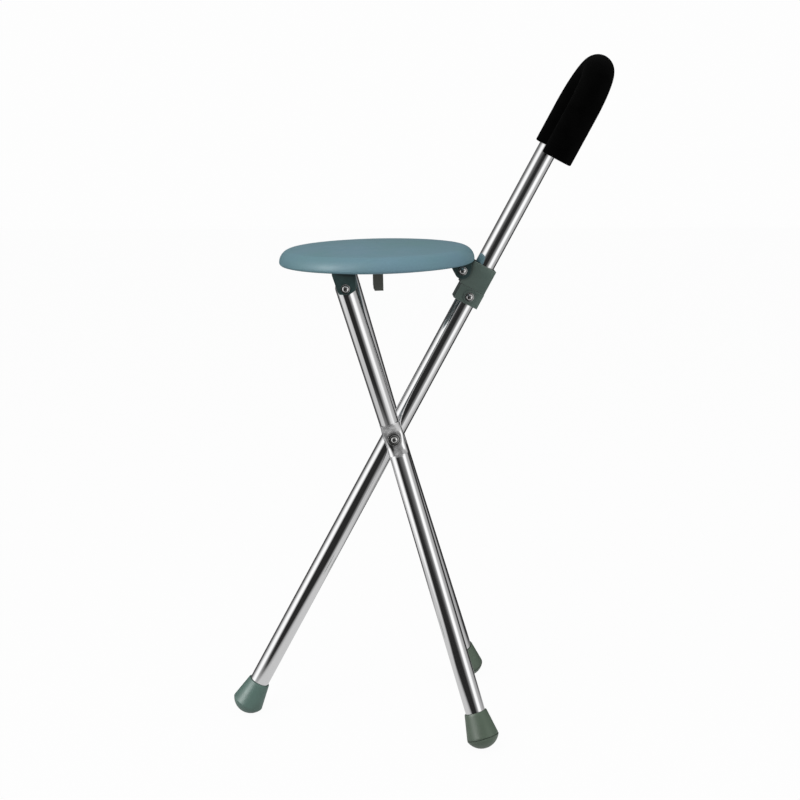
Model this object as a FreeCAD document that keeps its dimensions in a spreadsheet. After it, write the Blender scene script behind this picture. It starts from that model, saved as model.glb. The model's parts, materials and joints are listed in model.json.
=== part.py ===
import FreeCAD, Part

import math
import os

import Sketcher

# A walking stick that opens into a three-legged seat.
# The stick leans towards +X and ends in a U-shaped handle. Two legs cross it on one bolt and lean towards -X.
# The seat is hinged on the leg tops and, at its rear, on a slider that rides on the stick above a fixed stop collar.
# Origin: the point where the stick's foot stands on the floor. Z is up, and the stick and the bolt meet in the XZ plane.

# Driving dimensions, in millimetres and degrees.
SIZES = [
    ("stick_lean", 28.0, "stick from upright, top towards +X"),
    ("leg_lean", 16.6, "legs from upright in side view, tops towards -X"),
    ("pivot_height", 331.0, "floor to pivot bolt"),
    ("tube_od", 22.0, "outside of the stick and leg tubes"),
    ("tube_wall", 1.2, "tube wall"),
    ("push_gap", 0.05, "radial gap of pieces pushed on or into a tube"),
    ("run_gap", 0.05, "radial gap of a pin in a hole that turns on it"),
    ("side_gap", 0.4, "gap beside pieces that turn past each other"),
    ("bend_start", 404.0, "pivot to the start of the handle's bend, along the stick"),
    ("crook_width", 95.0, "handle arms, centre to centre"),
    ("arm_length", 52.0, "straight part of the handle's free arm"),
    ("grip_od", 32.6, "outside of the foam grip"),
    ("grip_on_stick", 44.0, "grip below the bend on the stick"),
    ("plug_flange", 2.0, "thickness of the end plug's flange, which the foam covers too"),
    ("plug_depth", 14.0, "end plug inside the free arm"),
    ("foot_dome", 19.5, "radius of a foot's domed sole"),
    ("foot_wide", 36.0, "widest diameter of a foot"),
    ("foot_rim", 25.0, "diameter of a foot's upper rim"),
    ("foot_flare", 29.0, "height of a foot's tapered part"),
    ("foot_socket", 30.0, "depth of a foot's socket"),
    ("foot_flat", 0.5, "depth of the flat that stands on the floor"),
    ("foot_washer", 1.5, "thickness of the washer in a foot"),
    ("leg_pivot_out", 20.4, "where a leg's two straight runs would meet, from the middle plane"),
    ("leg_bend", 60.0, "centreline radius of a leg's bend"),
    ("leg_to_hinge", 183.6, "pivot to the seat's front hinge, in side view"),
    ("leg_hinge_out", 81.0, "leg centre at the front hinge, from the middle plane"),
    ("leg_foot_out", 104.9, "foot centre from the middle plane"),
    ("press_length", 39.0, "length of a leg's flattened part at the pivot"),
    ("press_wide", 24.5, "width of the flattened part"),
    ("press_thick", 14.0, "thickness of the flattened part"),
    ("leg_top_flat", 18.0, "leg top across its two flats at the hinge"),
    ("leg_top_round", 10.8, "radius of the leg top round the hinge"),
    ("leg_plug", 30.0, "length of the plug in a leg top, below the hinge"),
    ("pivot_bolt", 6.0, "diameter of the pivot bolt"),
    ("pivot_head", 10.0, "diameter of the pivot bolt's head"),
    ("pivot_head_height", 3.0, "height of that head"),
    ("pivot_washer_od", 14.0, "outside of the pivot washers"),
    ("pivot_washer", 1.0, "thickness of the pivot washers"),
    ("pivot_nut", 10.0, "pivot nut across flats"),
    ("pivot_nut_height", 5.0, "height of the pivot nut"),
    ("spacer_od", 16.0, "outside of the saddle spacers"),
    ("hinge_screw", 4.0, "diameter of the hinge and collar screws"),
    ("hinge_head", 9.6, "diameter of their heads"),
    ("hinge_head_height", 2.6, "height of their heads"),
    ("hinge_nut", 7.0, "their nuts across flats"),
    ("hinge_nut_height", 3.2, "height of their nuts"),
    ("small_screw", 3.4, "diameter of the screws under the seat"),
    ("small_head", 6.6, "diameter of their heads"),
    ("small_head_height", 2.0, "height of their heads"),
    ("small_screw_length", 8.0, "length of their shanks"),
    ("recess_depth", 1.3, "depth of the cross in a screw head"),
    ("recess_width", 1.1, "width of the cross's arms"),
    ("seat_tilt", 1.2, "seat from level, rear side up"),
    ("seat_radius", 107.0, "radius of the seat"),
    ("seat_edge_in", 13.3, "how far the seat's lower edge turns in"),
    ("seat_edge_rise", 4.5, "height of the widest ring above the underside"),
    ("seat_lip", 3.0, "radius of the lower edge in section, below the widest ring"),
    ("seat_round", 13.8, "radius of the upper edge in section"),
    ("seat_crown_slope", 6.5, "slope of the seat's top where it meets that edge"),
    ("flange_bite", 6.0, "how far a flange screw goes into the shell's boss"),
    ("seat_wall", 3.0, "wall of the seat shell"),
    ("seat_base_radius", 92.0, "radius of the base plate"),
    ("seat_base_thick", 4.0, "thickness of the base plate"),
    ("seat_rib", 2.4, "thickness of the shell's ribs"),
    ("seat_boss", 5.5, "radius of the shell's screw bosses"),
    ("seat_boss_in", 12.0, "the base plate's screws from its edge"),
    ("seat_over_hinge", 14.5, "front hinge to the seat's underside"),
    ("seat_hinge_ahead", 34.8, "front hinge ahead of the seat's centre"),
    ("cheek", 3.5, "thickness of the brackets' cheeks"),
    ("cheek_span", 28.0, "between the two cheeks of a front bracket"),
    ("cheek_front", 13.8, "cheek ahead of the hinge, at the seat"),
    ("cheek_rear", 10.8, "cheek behind the hinge, at the seat"),
    ("cheek_drop", 6.1, "cheek below the hinge"),
    ("cheek_nose", 8.4, "cheek ahead of the hinge, near its lower end"),
    ("bracket_boss", 5.5, "radius of the inner cheek's boss"),
    ("spot_face", 7.5, "radius of the leg's flat for that boss"),
    ("flange", 2.5, "thickness of the flanges against the seat"),
    ("flange_reach", 18.0, "width of a front bracket's flange"),
    ("flange_screw_out", 6.0, "flange screws from the flange's middle"),
    ("collar_start", 168.0, "pivot to the stop collar, along the stick"),
    ("collar_height", 17.5, "height of the stop collar"),
    ("collar_front", 14.8, "collar from the stick's axis, seat side"),
    ("collar_back", 13.6, "collar from the stick's axis, far side"),
    ("block_half", 14.0, "half the width of collar and slider across"),
    ("collar_boss", 6.8, "radius of the collar's boss round its screw"),
    ("collar_boss_height", 1.0, "height of that boss"),
    ("slider_gap", 0.3, "slider above the collar when the seat is open"),
    ("slider_height", 28.2, "height of the slider"),
    ("slider_back", 13.2, "slider from the stick's axis, far side"),
    ("slider_wall", 1.5, "slider's wall on the seat side"),
    ("slider_slack", 3.9, "how much wider than the stick the slider's bore is, towards the seat"),
    ("slider_bore_gap", 0.25, "radial gap of that bore"),
    ("slider_corner", 2.8, "slider's upper corner cut back across the stick"),
    ("slider_corner_run", 11.0, "the same along the stick"),
    ("ear_out", 20.6, "rear hinge from the stick's axis"),
    ("ear_up", 12.9, "rear hinge above the slider's lower end"),
    ("ear_round", 6.8, "radius of the slider's ear"),
    ("lug_round", 9.2, "radius of the rear bracket's lugs"),
    ("lug_wrap", 35.0, "how far down the lug's straight side meets its round, in degrees"),
    ("lug_front", 13.9, "lug ahead of the rear hinge, at the seat"),
    ("lug_rear", 10.8, "lug behind the rear hinge, at the seat"),
    ("rear_flange_start", 9.5, "rear bracket's flange ahead of the hinge"),
    ("rear_flange_reach", 22.0, "length of that flange"),
    ("clip_ahead", 35.5, "clip's middle behind the front hinge"),
    ("clip_long", 11.0, "clip along the stick"),
    ("clip_arm", 3.0, "thickness of the clip's arms"),
    ("clip_deep", 28.0, "clip's arms below the seat"),
    ("clip_gap", 0.3, "gap between a clip arm and the folded stick"),
    ("clip_corner", 3.0, "corner cut at the clip's front end"),
    ("clip_flange", 26.0, "length of the clip's flange"),
    ("thread_out", 1.0, "how far a hinge screw passes its nut"),
    ("bolt_thread_out", 1.5, "how far the pivot bolt passes its nut"),
    ("hole_deeper", 0.5, "how much deeper a blind screw hole is than its screw"),
    ("cut_past", 1.0, "how far a cutter passes the face it opens"),
]

# Places and angles that follow from the driving dimensions.
WORKED = [
    ("tube_r", "sizes.tube_od / 2"),
    ("bore_r", "sizes.tube_od / 2 - sizes.tube_wall"),
    ("grip_on_arm", "sizes.arm_length + sizes.plug_flange"),
    ("foot_centre", "sizes.foot_dome - sizes.foot_flat"),
    ("stick_run", "(sizes.pivot_height - worked.foot_centre) / cos(sizes.stick_lean)"),
    ("pivot_x", "worked.stick_run * sin(sizes.stick_lean)"),
    ("ring_z", "-sqrt(sizes.foot_dome ^ 2 - sizes.foot_wide ^ 2 / 4)"),
    ("rim_z", "worked.ring_z + sizes.foot_flare"),
    ("socket_z", "worked.rim_z - sizes.foot_socket"),
    ("tube_end_z", "worked.socket_z + sizes.foot_washer"),
    ("leg_drop", "(sizes.pivot_height - worked.foot_centre) / cos(sizes.leg_lean)"),
    ("low_tilt", "atan((sizes.leg_foot_out - sizes.leg_pivot_out) / worked.leg_drop)"),
    ("high_tilt", "atan((sizes.leg_hinge_out - sizes.leg_pivot_out) / sizes.leg_to_hinge)"),
    ("half_turn", "(worked.low_tilt + worked.high_tilt) / 2"),
    ("bend_skew", "(worked.low_tilt - worked.high_tilt) / 2"),
    ("bend_centre_y", "sizes.leg_pivot_out + sizes.leg_bend / cos(worked.half_turn) * cos(worked.bend_skew)"),
    ("bend_centre_z", "sizes.leg_bend / cos(worked.half_turn) * sin(worked.bend_skew)"),
    ("bend_tangent", "sizes.leg_bend * tan(worked.half_turn)"),
    ("leg_at_pivot", "worked.bend_centre_y - sqrt(sizes.leg_bend ^ 2 - worked.bend_centre_z ^ 2)"),
    ("press_in", "worked.leg_at_pivot - sizes.press_thick / 2"),
    ("press_out", "worked.leg_at_pivot + sizes.press_thick / 2"),
    ("low_run", "worked.leg_drop / cos(worked.low_tilt) - worked.tube_end_z"),
    ("hinge_x", "worked.pivot_x - sizes.leg_to_hinge * sin(sizes.leg_lean)"),
    ("hinge_z", "sizes.pivot_height + sizes.leg_to_hinge * cos(sizes.leg_lean)"),
    ("flat_out", "sizes.leg_hinge_out + sizes.leg_top_flat / 2"),
    ("flat_in", "sizes.leg_hinge_out - sizes.leg_top_flat / 2"),
    ("cheek_out", "worked.flat_out + sizes.side_gap"),
    ("cheek_in", "worked.cheek_out - sizes.cheek_span"),
    ("slider_start", "sizes.collar_start + sizes.collar_height + sizes.slider_gap"),
    ("slider_front", "worked.tube_r + sizes.slider_bore_gap + sizes.slider_slack + sizes.slider_wall"),
    ("ear_along", "worked.slider_start + sizes.ear_up"),
    ("rear_x", "worked.pivot_x + worked.ear_along * sin(sizes.stick_lean) - sizes.ear_out * cos(sizes.stick_lean)"),
    ("rear_z", "sizes.pivot_height + worked.ear_along * cos(sizes.stick_lean) + sizes.ear_out * sin(sizes.stick_lean)"),
    ("rear_along", "(worked.rear_x - worked.hinge_x) * cos(sizes.seat_tilt)"
                   " + (worked.rear_z - worked.hinge_z) * sin(sizes.seat_tilt)"),
    ("rear_up", "(worked.rear_z - worked.hinge_z) * cos(sizes.seat_tilt)"
                " - (worked.rear_x - worked.hinge_x) * sin(sizes.seat_tilt)"),
    ("over_rear", "sizes.seat_over_hinge - worked.rear_up"),
    ("lug_in", "sizes.block_half + sizes.side_gap"),
    ("seat_boss_ring", "sizes.seat_base_radius - sizes.seat_boss_in"),
    ("round_centre", "sizes.seat_radius - sizes.seat_round"),
    ("shoulder_r", "worked.round_centre + sizes.seat_round * sin(sizes.seat_crown_slope)"),
    ("crown_curve", "worked.shoulder_r / sin(sizes.seat_crown_slope)"),
    ("lip_span", "sqrt((sizes.seat_edge_in - sizes.seat_lip) ^ 2 + sizes.seat_edge_rise ^ 2)"),
    ("lip_slope", "atan(sizes.seat_edge_rise / (sizes.seat_edge_in - sizes.seat_lip))"
                  " - asin(sizes.seat_lip / worked.lip_span)"),
    ("lip_run", "sqrt(worked.lip_span ^ 2 - sizes.seat_lip ^ 2)"),
    ("lip_r", "sizes.seat_radius - sizes.seat_edge_in + worked.lip_run * cos(worked.lip_slope)"),
    ("lip_z", "worked.lip_run * sin(worked.lip_slope)"),
    ("flange_screw_length", "sizes.flange + sizes.seat_base_thick + sizes.flange_bite"),
    ("shoulder_z", "sizes.seat_edge_rise + sizes.seat_round * cos(sizes.seat_crown_slope)"),
    ("seat_top", "worked.shoulder_z + worked.crown_curve * (1 - cos(sizes.seat_crown_slope))"),
    ("inner_round", "sizes.seat_round - sizes.seat_wall"),
    ("inner_r", "worked.round_centre + worked.inner_round * sin(sizes.seat_crown_slope)"),
    ("inner_z", "sizes.seat_edge_rise + worked.inner_round * cos(sizes.seat_crown_slope)"),
]

doc = FreeCAD.newDocument("walking_stick_seat")
sizes = doc.addObject("Spreadsheet::Sheet", "sizes")
worked = doc.addObject("Spreadsheet::Sheet", "worked")


def fill_sheets():
    """Write the driving dimensions as plain numbers, and the formulas that follow from them."""
    for row, (alias, value, note) in enumerate(SIZES, start=1):
        sizes.set(f"A{row}", alias)
        sizes.set(f"B{row}", str(value))
        sizes.setAlias(f"B{row}", alias)
        sizes.set(f"C{row}", note)
    for row, (alias, formula) in enumerate(WORKED, start=1):
        worked.set(f"A{row}", alias)
        worked.set(f"B{row}", "=" + formula.replace("worked.", ""))
        worked.setAlias(f"B{row}", alias)
    doc.recompute()


fill_sheets()

# Frames: the stick and the legs turn about the pivot bolt, the seat's frame has its origin on the front hinge.
STICK = "placement(vector(worked.pivot_x; 0; sizes.pivot_height); rotation(vector(0; 1; 0); sizes.stick_lean))"
LEGS = "placement(vector(worked.pivot_x; 0; sizes.pivot_height); rotation(vector(0; 1; 0); -sizes.leg_lean))"
SEAT = "placement(vector(worked.hinge_x; 0; worked.hinge_z); rotation(vector(0; 1; 0); -sizes.seat_tilt))"

# Half the span of a screw's cross, as a share of its head's diameter.
RECESS_SHARE = 0.3

parts = []


def number(expression):
    """The present value of an expression on the sheets."""
    value = sizes.evalExpression(expression)
    return float(getattr(value, "Value", value))


def spot(x="0", y="0", z="0", axis="0; 0; 1", turn="0"):
    """A placement expression: a point and a turn about an axis."""
    return f"placement(vector({x}; {y}; {z}); rotation(vector({axis}); {turn}))"


def across(x="0", y="0", z="0"):
    """A placement that lays a primitive's Z axis along +Y."""
    return spot(x, y, z, "1; 0; 0", "-90")


def primitive(kind, frame, place, **bound):
    """A Part primitive in a frame, each of its sizes bound to an expression."""
    thing = doc.addObject("Part::" + kind, kind.lower())
    for name, expression in bound.items():
        thing.setExpression(name, expression)
    thing.setExpression("Placement", f"{frame} * {place}")
    return thing


def cylinder(frame, place, radius, height):
    return primitive("Cylinder", frame, place, Radius=radius, Height=height)


def box(frame, x, y, z):
    """A box between two expressions along each axis of a frame."""
    return primitive(
        "Box", frame, spot(x[0], y[0], z[0]),
        Length=f"({x[1]}) - ({x[0]})", Width=f"({y[1]}) - ({y[0]})", Height=f"({z[1]}) - ({z[0]})",
    )


def fuse(*pieces):
    thing = doc.addObject("Part::MultiFuse", "joined")
    thing.Shapes = list(pieces)
    return thing


def cut(base, *tools):
    thing = doc.addObject("Part::Cut", "trimmed")
    thing.Base = base
    thing.Tool = tools[0] if len(tools) == 1 else fuse(*tools)
    return thing


def group(*pieces):
    """Separate identical pieces in one part."""
    thing = doc.addObject("Part::Compound", "set")
    thing.Links = list(pieces)
    return thing


def mirrored(source):
    """The same piece on the other side of the middle plane."""
    thing = doc.addObject("Part::Mirroring", "mirrored")
    thing.Source = source
    thing.Base = FreeCAD.Vector(0, 0, 0)
    thing.Normal = FreeCAD.Vector(0, 1, 0)
    return thing


def keep(thing, label):
    """Register a finished sub-part under its name."""
    thing.Label = label
    parts.append(thing)
    return thing


def draw(sketch, corners, rounds, closed):
    """Draw lines and arcs through corners given as expressions, and bind every corner and radius.

    rounds maps a segment's number to (radius expression, side): side 1 has the arc's centre left of travel.
    """
    points = [FreeCAD.Vector(number(x), number(y), 0) for x, y in corners]
    count = len(points) if closed else len(points) - 1
    heads = []
    for i in range(count):
        start, end = points[i], points[(i + 1) % len(points)]
        if i not in rounds:
            sketch.addGeometry(Part.LineSegment(start, end), False)
            heads.append((1, 2))
            continue
        radius, side = number(rounds[i][0]), rounds[i][1]
        chord = end - start
        rise = math.sqrt(max(radius ** 2 - chord.Length ** 2 / 4, 0.0))
        left = FreeCAD.Vector(-chord.y, chord.x, 0).normalize()
        centre = (start + end) * 0.5 + left * rise * side
        first, last = (start, end) if side > 0 else (end, start)
        angle_first = math.atan2(first.y - centre.y, first.x - centre.x)
        angle_last = math.atan2(last.y - centre.y, last.x - centre.x)
        if angle_last < angle_first:
            angle_last += 2 * math.pi
        circle = Part.Circle(centre, FreeCAD.Vector(0, 0, 1), radius)
        sketch.addGeometry(Part.ArcOfCircle(circle, angle_first, angle_last), False)
        heads.append((1, 2) if side > 0 else (2, 1))
    joints = count if closed else count - 1
    for i in range(joints):
        follower = (i + 1) % count
        sketch.addConstraint(Sketcher.Constraint("Coincident", i, heads[i][1], follower, heads[follower][0]))
    for i, (x, y) in enumerate(corners):
        segment, end = (i, heads[i][0]) if i < count else (count - 1, heads[count - 1][1])
        for kind, expression in (("DistanceX", x), ("DistanceY", y)):
            index = sketch.addConstraint(Sketcher.Constraint(kind, -1, 1, segment, end, number(expression)))
            sketch.setExpression(f"Constraints[{index}]", expression)
    for i, (radius, side) in rounds.items():
        index = sketch.addConstraint(Sketcher.Constraint("Radius", i, number(radius)))
        sketch.setExpression(f"Constraints[{index}]", radius)


def body_sketch(body, corners, rounds, lift="0"):
    """A closed sketch on a body's XZ plane, moved by lift along +Y."""
    sketch = body.newObject("Sketcher::SketchObject", "outline")
    plane = [feature for feature in body.Origin.OriginFeatures if feature.Role == "XZ_Plane"][0]
    sketch.AttachmentSupport = [(plane, "")]
    sketch.MapMode = "FlatFace"
    sketch.setExpression("AttachmentOffset.Base.z", f"-({lift})")
    draw(sketch, corners, rounds, True)
    doc.recompute()
    return sketch


def revolved(frame, corners, rounds=None):
    """A body turned from a half section: x is the radius, y the height along the frame's Z."""
    body = doc.addObject("PartDesign::Body", "turned")
    sketch = body_sketch(body, corners, rounds or {})
    turn = body.newObject("PartDesign::Revolution", "turn")
    turn.Profile = sketch
    turn.ReferenceAxis = (sketch, ["V_Axis"])
    turn.Angle = 360
    body.setExpression("Placement", frame)
    return body


def plate(frame, corners, start, thick, rounds=None):
    """A body padded from a side outline, from start to start + thick along the frame's Y."""
    body = doc.addObject("PartDesign::Body", "plate")
    sketch = body_sketch(body, corners, rounds or {}, start)
    pad = body.newObject("PartDesign::Pad", "pad")
    pad.Profile = sketch
    pad.Reversed = True
    pad.setExpression("Length", thick)
    body.setExpression("Placement", frame)
    return body


def swept(frame, corners, rounds, radius, tilt):
    """A round bar of a radius along a path in the frame's YZ plane, its first run tilted by tilt from Z."""
    path = doc.addObject("Sketcher::SketchObject", "path")
    draw(path, corners, rounds, False)
    path.setExpression("Placement", f"{frame} * {spot(axis='1; 1; 1', turn='120')}")
    ring = doc.addObject("Part::Circle", "ring")
    ring.setExpression("Radius", radius)
    first_y, first_z = corners[0]
    ring.setExpression("Placement", f"{frame} * {spot('0', first_y, first_z, '1; 0; 0', tilt)}")
    doc.recompute()
    bar = doc.addObject("Part::Sweep", "bar")
    bar.Sections = [ring]
    bar.Spine = (path, [f"Edge{i + 1}" for i in range(len(corners) - 1)])
    bar.Solid = True
    bar.Frenet = False
    return bar


def screw(frame, x, y, z, outward, shank, length, head, head_height):
    """A pan-head screw with a cross recess, its seat at y and its head towards outward (1 or -1) along Y."""
    reach = "1" if outward > 0 else "-1"
    low = y if outward > 0 else f"{y} - {head_height}"
    shank_low = f"{y} - ({length})" if outward > 0 else y
    head_part = cylinder(frame, across(x, low, z), f"{head} / 2", head_height)
    shank_part = cylinder(frame, across(x, shank_low, z), f"{shank} / 2", length)
    face = f"{y} + {reach} * {head_height}"
    floor = f"{y} + {reach} * ({head_height} - sizes.recess_depth)"
    span = (floor, face) if outward > 0 else (face, floor)
    long_half, short_half = f"{head} * {RECESS_SHARE}", "sizes.recess_width / 2"
    arms = []
    for wide, tall in ((long_half, short_half), (short_half, long_half)):
        arms.append(box(frame, (f"{x} - {wide}", f"{x} + {wide}"), span, (f"{z} - {tall}", f"{z} + {tall}")))
    return cut(fuse(head_part, shank_part), *arms)


def small_screw(x, y, seat_z, length="sizes.small_screw_length"):
    """A screw that goes up into the seat, its head seated against a face at height seat_z of the seat's frame."""
    head = cylinder(SEAT, spot(x, y, f"{seat_z} - sizes.small_head_height"), "sizes.small_head / 2",
                    "sizes.small_head_height")
    shank = cylinder(SEAT, spot(x, y, seat_z), "sizes.small_screw / 2", length)
    low = f"{seat_z} - sizes.small_head_height"
    depth = (low, f"{low} + sizes.recess_depth")
    long_half, short_half = f"sizes.small_head * {RECESS_SHARE}", "sizes.recess_width / 2"
    arms = []
    for wide, tall in ((long_half, short_half), (short_half, long_half)):
        arms.append(box(SEAT, (f"{x} - {wide}", f"{x} + {wide}"), (f"{y} - {tall}", f"{y} + {tall}"), depth))
    return cut(fuse(head, shank), *arms)


def small_hole(x, y, low, high):
    """A clearance hole for a small screw between two heights of the seat's frame."""
    return cylinder(SEAT, spot(x, y, low), "sizes.small_screw / 2 + sizes.push_gap", f"({high}) - ({low})")


def nut(frame, x, y, z, flats, height, bore):
    """A hexagon nut with its lower face at y."""
    hexagon = primitive("Prism", frame, across(x, y, z), Circumradius=f"{flats} / sqrt(3)", Height=height)
    hexagon.Polygon = 6
    return cut(hexagon, cylinder(frame, across(x, y, z), bore, height))


def foot(frame):
    """A rubber foot: a tapered socket with a domed sole, cut flat where it stands on the floor."""
    blank = revolved(
        frame,
        [("0", "-sizes.foot_dome"), ("sizes.foot_wide / 2", "worked.ring_z"), ("sizes.foot_rim / 2", "worked.rim_z"),
         ("worked.tube_r + sizes.push_gap", "worked.rim_z"), ("worked.tube_r + sizes.push_gap", "worked.socket_z"),
         ("0", "worked.socket_z")],
        {0: ("sizes.foot_dome", 1)},
    )
    below = box("placement(vector(0; 0; 0); rotation(vector(0; 0; 1); 0))",
                ("-sizes.foot_wide", "worked.pivot_x * 3"),
                ("-sizes.leg_foot_out * 2", "sizes.leg_foot_out * 2"), ("-sizes.foot_wide", "0"))
    return cut(blank, below)


def foot_washer(frame):
    """The steel washer between the tube's end and the socket's floor."""
    disc = cylinder(frame, spot(z="worked.socket_z"), "worked.tube_r", "sizes.foot_washer")
    return cut(disc, cylinder(frame, spot(z="worked.socket_z"), "worked.bore_r / 2", "sizes.foot_washer"))


# The stick tube, its handle and what is fixed to it

CROOK = "sizes.crook_width / 2"
STICK_PATH = [
    ("0", "worked.tube_end_z - worked.stick_run"), ("0", "sizes.bend_start"),
    (f"-{CROOK}", f"sizes.bend_start + {CROOK}"), ("-sizes.crook_width", "sizes.bend_start"),
    ("-sizes.crook_width", "sizes.bend_start - sizes.arm_length"),
]
CROOK_ARCS = {1: (CROOK, 1), 2: (CROOK, 1)}


def bolt_hole(frame, radius, half):
    return cylinder(frame, across(y=f"-({half})"), radius, f"2 * ({half})")


def collar_hole(radius, half):
    return cylinder(STICK, across("0", f"-({half})", "sizes.collar_start + sizes.collar_height / 2"), radius,
                    f"2 * ({half})")


def stick_parts():
    outer = swept(STICK, STICK_PATH, CROOK_ARCS, "worked.tube_r", "0")
    inner = swept(STICK, STICK_PATH, CROOK_ARCS, "worked.bore_r", "0")
    bolt = bolt_hole(STICK, "sizes.pivot_bolt / 2 + sizes.push_gap", "sizes.tube_od")
    pinch = collar_hole("sizes.hinge_screw / 2 + sizes.push_gap", "sizes.tube_od")
    keep(cut(outer, inner, bolt, pinch), "stick_tube")

    grip_path = [("0", "sizes.bend_start - sizes.grip_on_stick")] + STICK_PATH[1:4]
    grip_path.append(("-sizes.crook_width", "sizes.bend_start - worked.grip_on_arm"))
    foam = swept(STICK, grip_path, CROOK_ARCS, "sizes.grip_od / 2", "0")
    hollow = swept(STICK, grip_path, CROOK_ARCS, "worked.tube_r + sizes.push_gap", "0")
    keep(cut(foam, hollow), "handle_grip")

    end = "sizes.bend_start - sizes.arm_length"
    flange = cylinder(STICK, spot(y="-sizes.crook_width", z=f"{end} - sizes.plug_flange"), "worked.tube_r",
                      "sizes.plug_flange")
    stem = cylinder(STICK, spot(y="-sizes.crook_width", z=end), "worked.bore_r - sizes.push_gap", "sizes.plug_depth")
    keep(fuse(flange, stem), "handle_end_plug")

    foot_frame = f"{STICK} * {spot(z='-worked.stick_run')}"
    keep(foot(foot_frame), "stick_foot")
    keep(foot_washer(foot_frame), "stick_foot_washer")


def collar_parts():
    low, high = "sizes.collar_start", "sizes.collar_start + sizes.collar_height"
    middle = "sizes.collar_start + sizes.collar_height / 2"
    face = "sizes.block_half + sizes.collar_boss_height"
    block = plate(
        STICK,
        [("sizes.collar_back", low), ("sizes.collar_back", high), ("-sizes.collar_front", high),
         ("-sizes.collar_front", low)],
        "-sizes.block_half", "2 * sizes.block_half",
    )
    boss = cylinder(STICK, across("0", f"-({face})", middle), "sizes.collar_boss", f"2 * ({face})")
    bore = cylinder(STICK, spot(z=f"{low} - sizes.cut_past"), "worked.tube_r + sizes.push_gap",
                    "sizes.collar_height + 2 * sizes.cut_past")
    hole = collar_hole("sizes.hinge_screw / 2 + sizes.push_gap", "sizes.tube_od")
    keep(cut(fuse(block, boss), bore, hole), "stop_collar")
    length = f"2 * ({face}) + sizes.hinge_nut_height + sizes.thread_out"
    keep(screw(STICK, "0", f"-({face})", middle, -1, "sizes.hinge_screw", length, "sizes.hinge_head",
               "sizes.hinge_head_height"), "collar_screw")
    keep(nut(STICK, "0", face, middle, "sizes.hinge_nut", "sizes.hinge_nut_height",
             "sizes.hinge_screw / 2 + sizes.push_gap"), "collar_nut")


def pivot_parts():
    seat_out = "worked.press_out + sizes.pivot_washer + 2 * sizes.run_gap"
    keep(screw(STICK, "0", f"-({seat_out})", "0", -1, "sizes.pivot_bolt",
               f"2 * ({seat_out}) + sizes.pivot_nut_height + sizes.bolt_thread_out", "sizes.pivot_head",
               "sizes.pivot_head_height"),
         "pivot_bolt")
    keep(nut(STICK, "0", seat_out, "0", "sizes.pivot_nut", "sizes.pivot_nut_height",
             "sizes.pivot_bolt / 2 + sizes.push_gap"), "pivot_nut")
    hole_r = "sizes.pivot_bolt / 2 + sizes.push_gap"
    length = "worked.press_in - sizes.run_gap - worked.bore_r"
    blank = cylinder(STICK, across(y="worked.bore_r"), "sizes.spacer_od / 2", length)
    saddle = cylinder(STICK, spot(z="-sizes.tube_od"), "worked.tube_r + sizes.push_gap", "2 * sizes.tube_od")
    spacer = cut(blank, saddle, bolt_hole(STICK, hole_r, "2 * sizes.tube_od"))
    keep(group(spacer, mirrored(spacer)), "pivot_spacers")
    disc = cylinder(STICK, across(y="worked.press_out + sizes.run_gap"), "sizes.pivot_washer_od / 2",
                    "sizes.pivot_washer")
    washer = cut(disc, bolt_hole(STICK, hole_r, "3 * sizes.tube_od"))
    keep(group(washer, mirrored(washer)), "pivot_washers")


# The pair of legs

LEG_PATH = [
    ("sizes.leg_pivot_out + worked.low_run * sin(worked.low_tilt)", "-worked.low_run * cos(worked.low_tilt)"),
    ("sizes.leg_pivot_out + worked.bend_tangent * sin(worked.low_tilt)", "-worked.bend_tangent * cos(worked.low_tilt)"),
    ("sizes.leg_pivot_out + worked.bend_tangent * sin(worked.high_tilt)", "worked.bend_tangent * cos(worked.high_tilt)"),
    ("sizes.leg_hinge_out + sizes.leg_top_round * tan(worked.high_tilt)", "sizes.leg_to_hinge + sizes.leg_top_round"),
]
LEG_ARCS = {1: ("sizes.leg_bend", -1)}


def leg_top_trim():
    """What is cut from a leg's top: the outer flat, the inner spot face, the rounded end and the screw hole."""
    reach = "sizes.tube_od * 2"
    hinge = "sizes.leg_to_hinge"
    outer_flat = box(LEGS, (f"-{reach}", reach), ("worked.flat_out", f"worked.flat_out + {reach}"),
                     (f"{hinge} - {reach}", f"{hinge} + {reach}"))
    inner_flat = cylinder(LEGS, across("0", f"worked.flat_in - {reach}", hinge), "sizes.spot_face", reach)
    above = box(LEGS, (f"-{reach}", reach), (f"sizes.leg_hinge_out - {reach}", f"sizes.leg_hinge_out + {reach}"),
                (hinge, f"{hinge} + {reach}"))
    round_end = cylinder(LEGS, across("0", f"sizes.leg_hinge_out - {reach}", hinge), "sizes.leg_top_round",
                         f"2 * {reach}")
    hole = cylinder(LEGS, across("0", f"sizes.leg_hinge_out - {reach}", hinge),
                    "sizes.hinge_screw / 2 + sizes.run_gap", f"2 * {reach}")
    return fuse(outer_flat, inner_flat, cut(above, round_end), hole)


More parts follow.
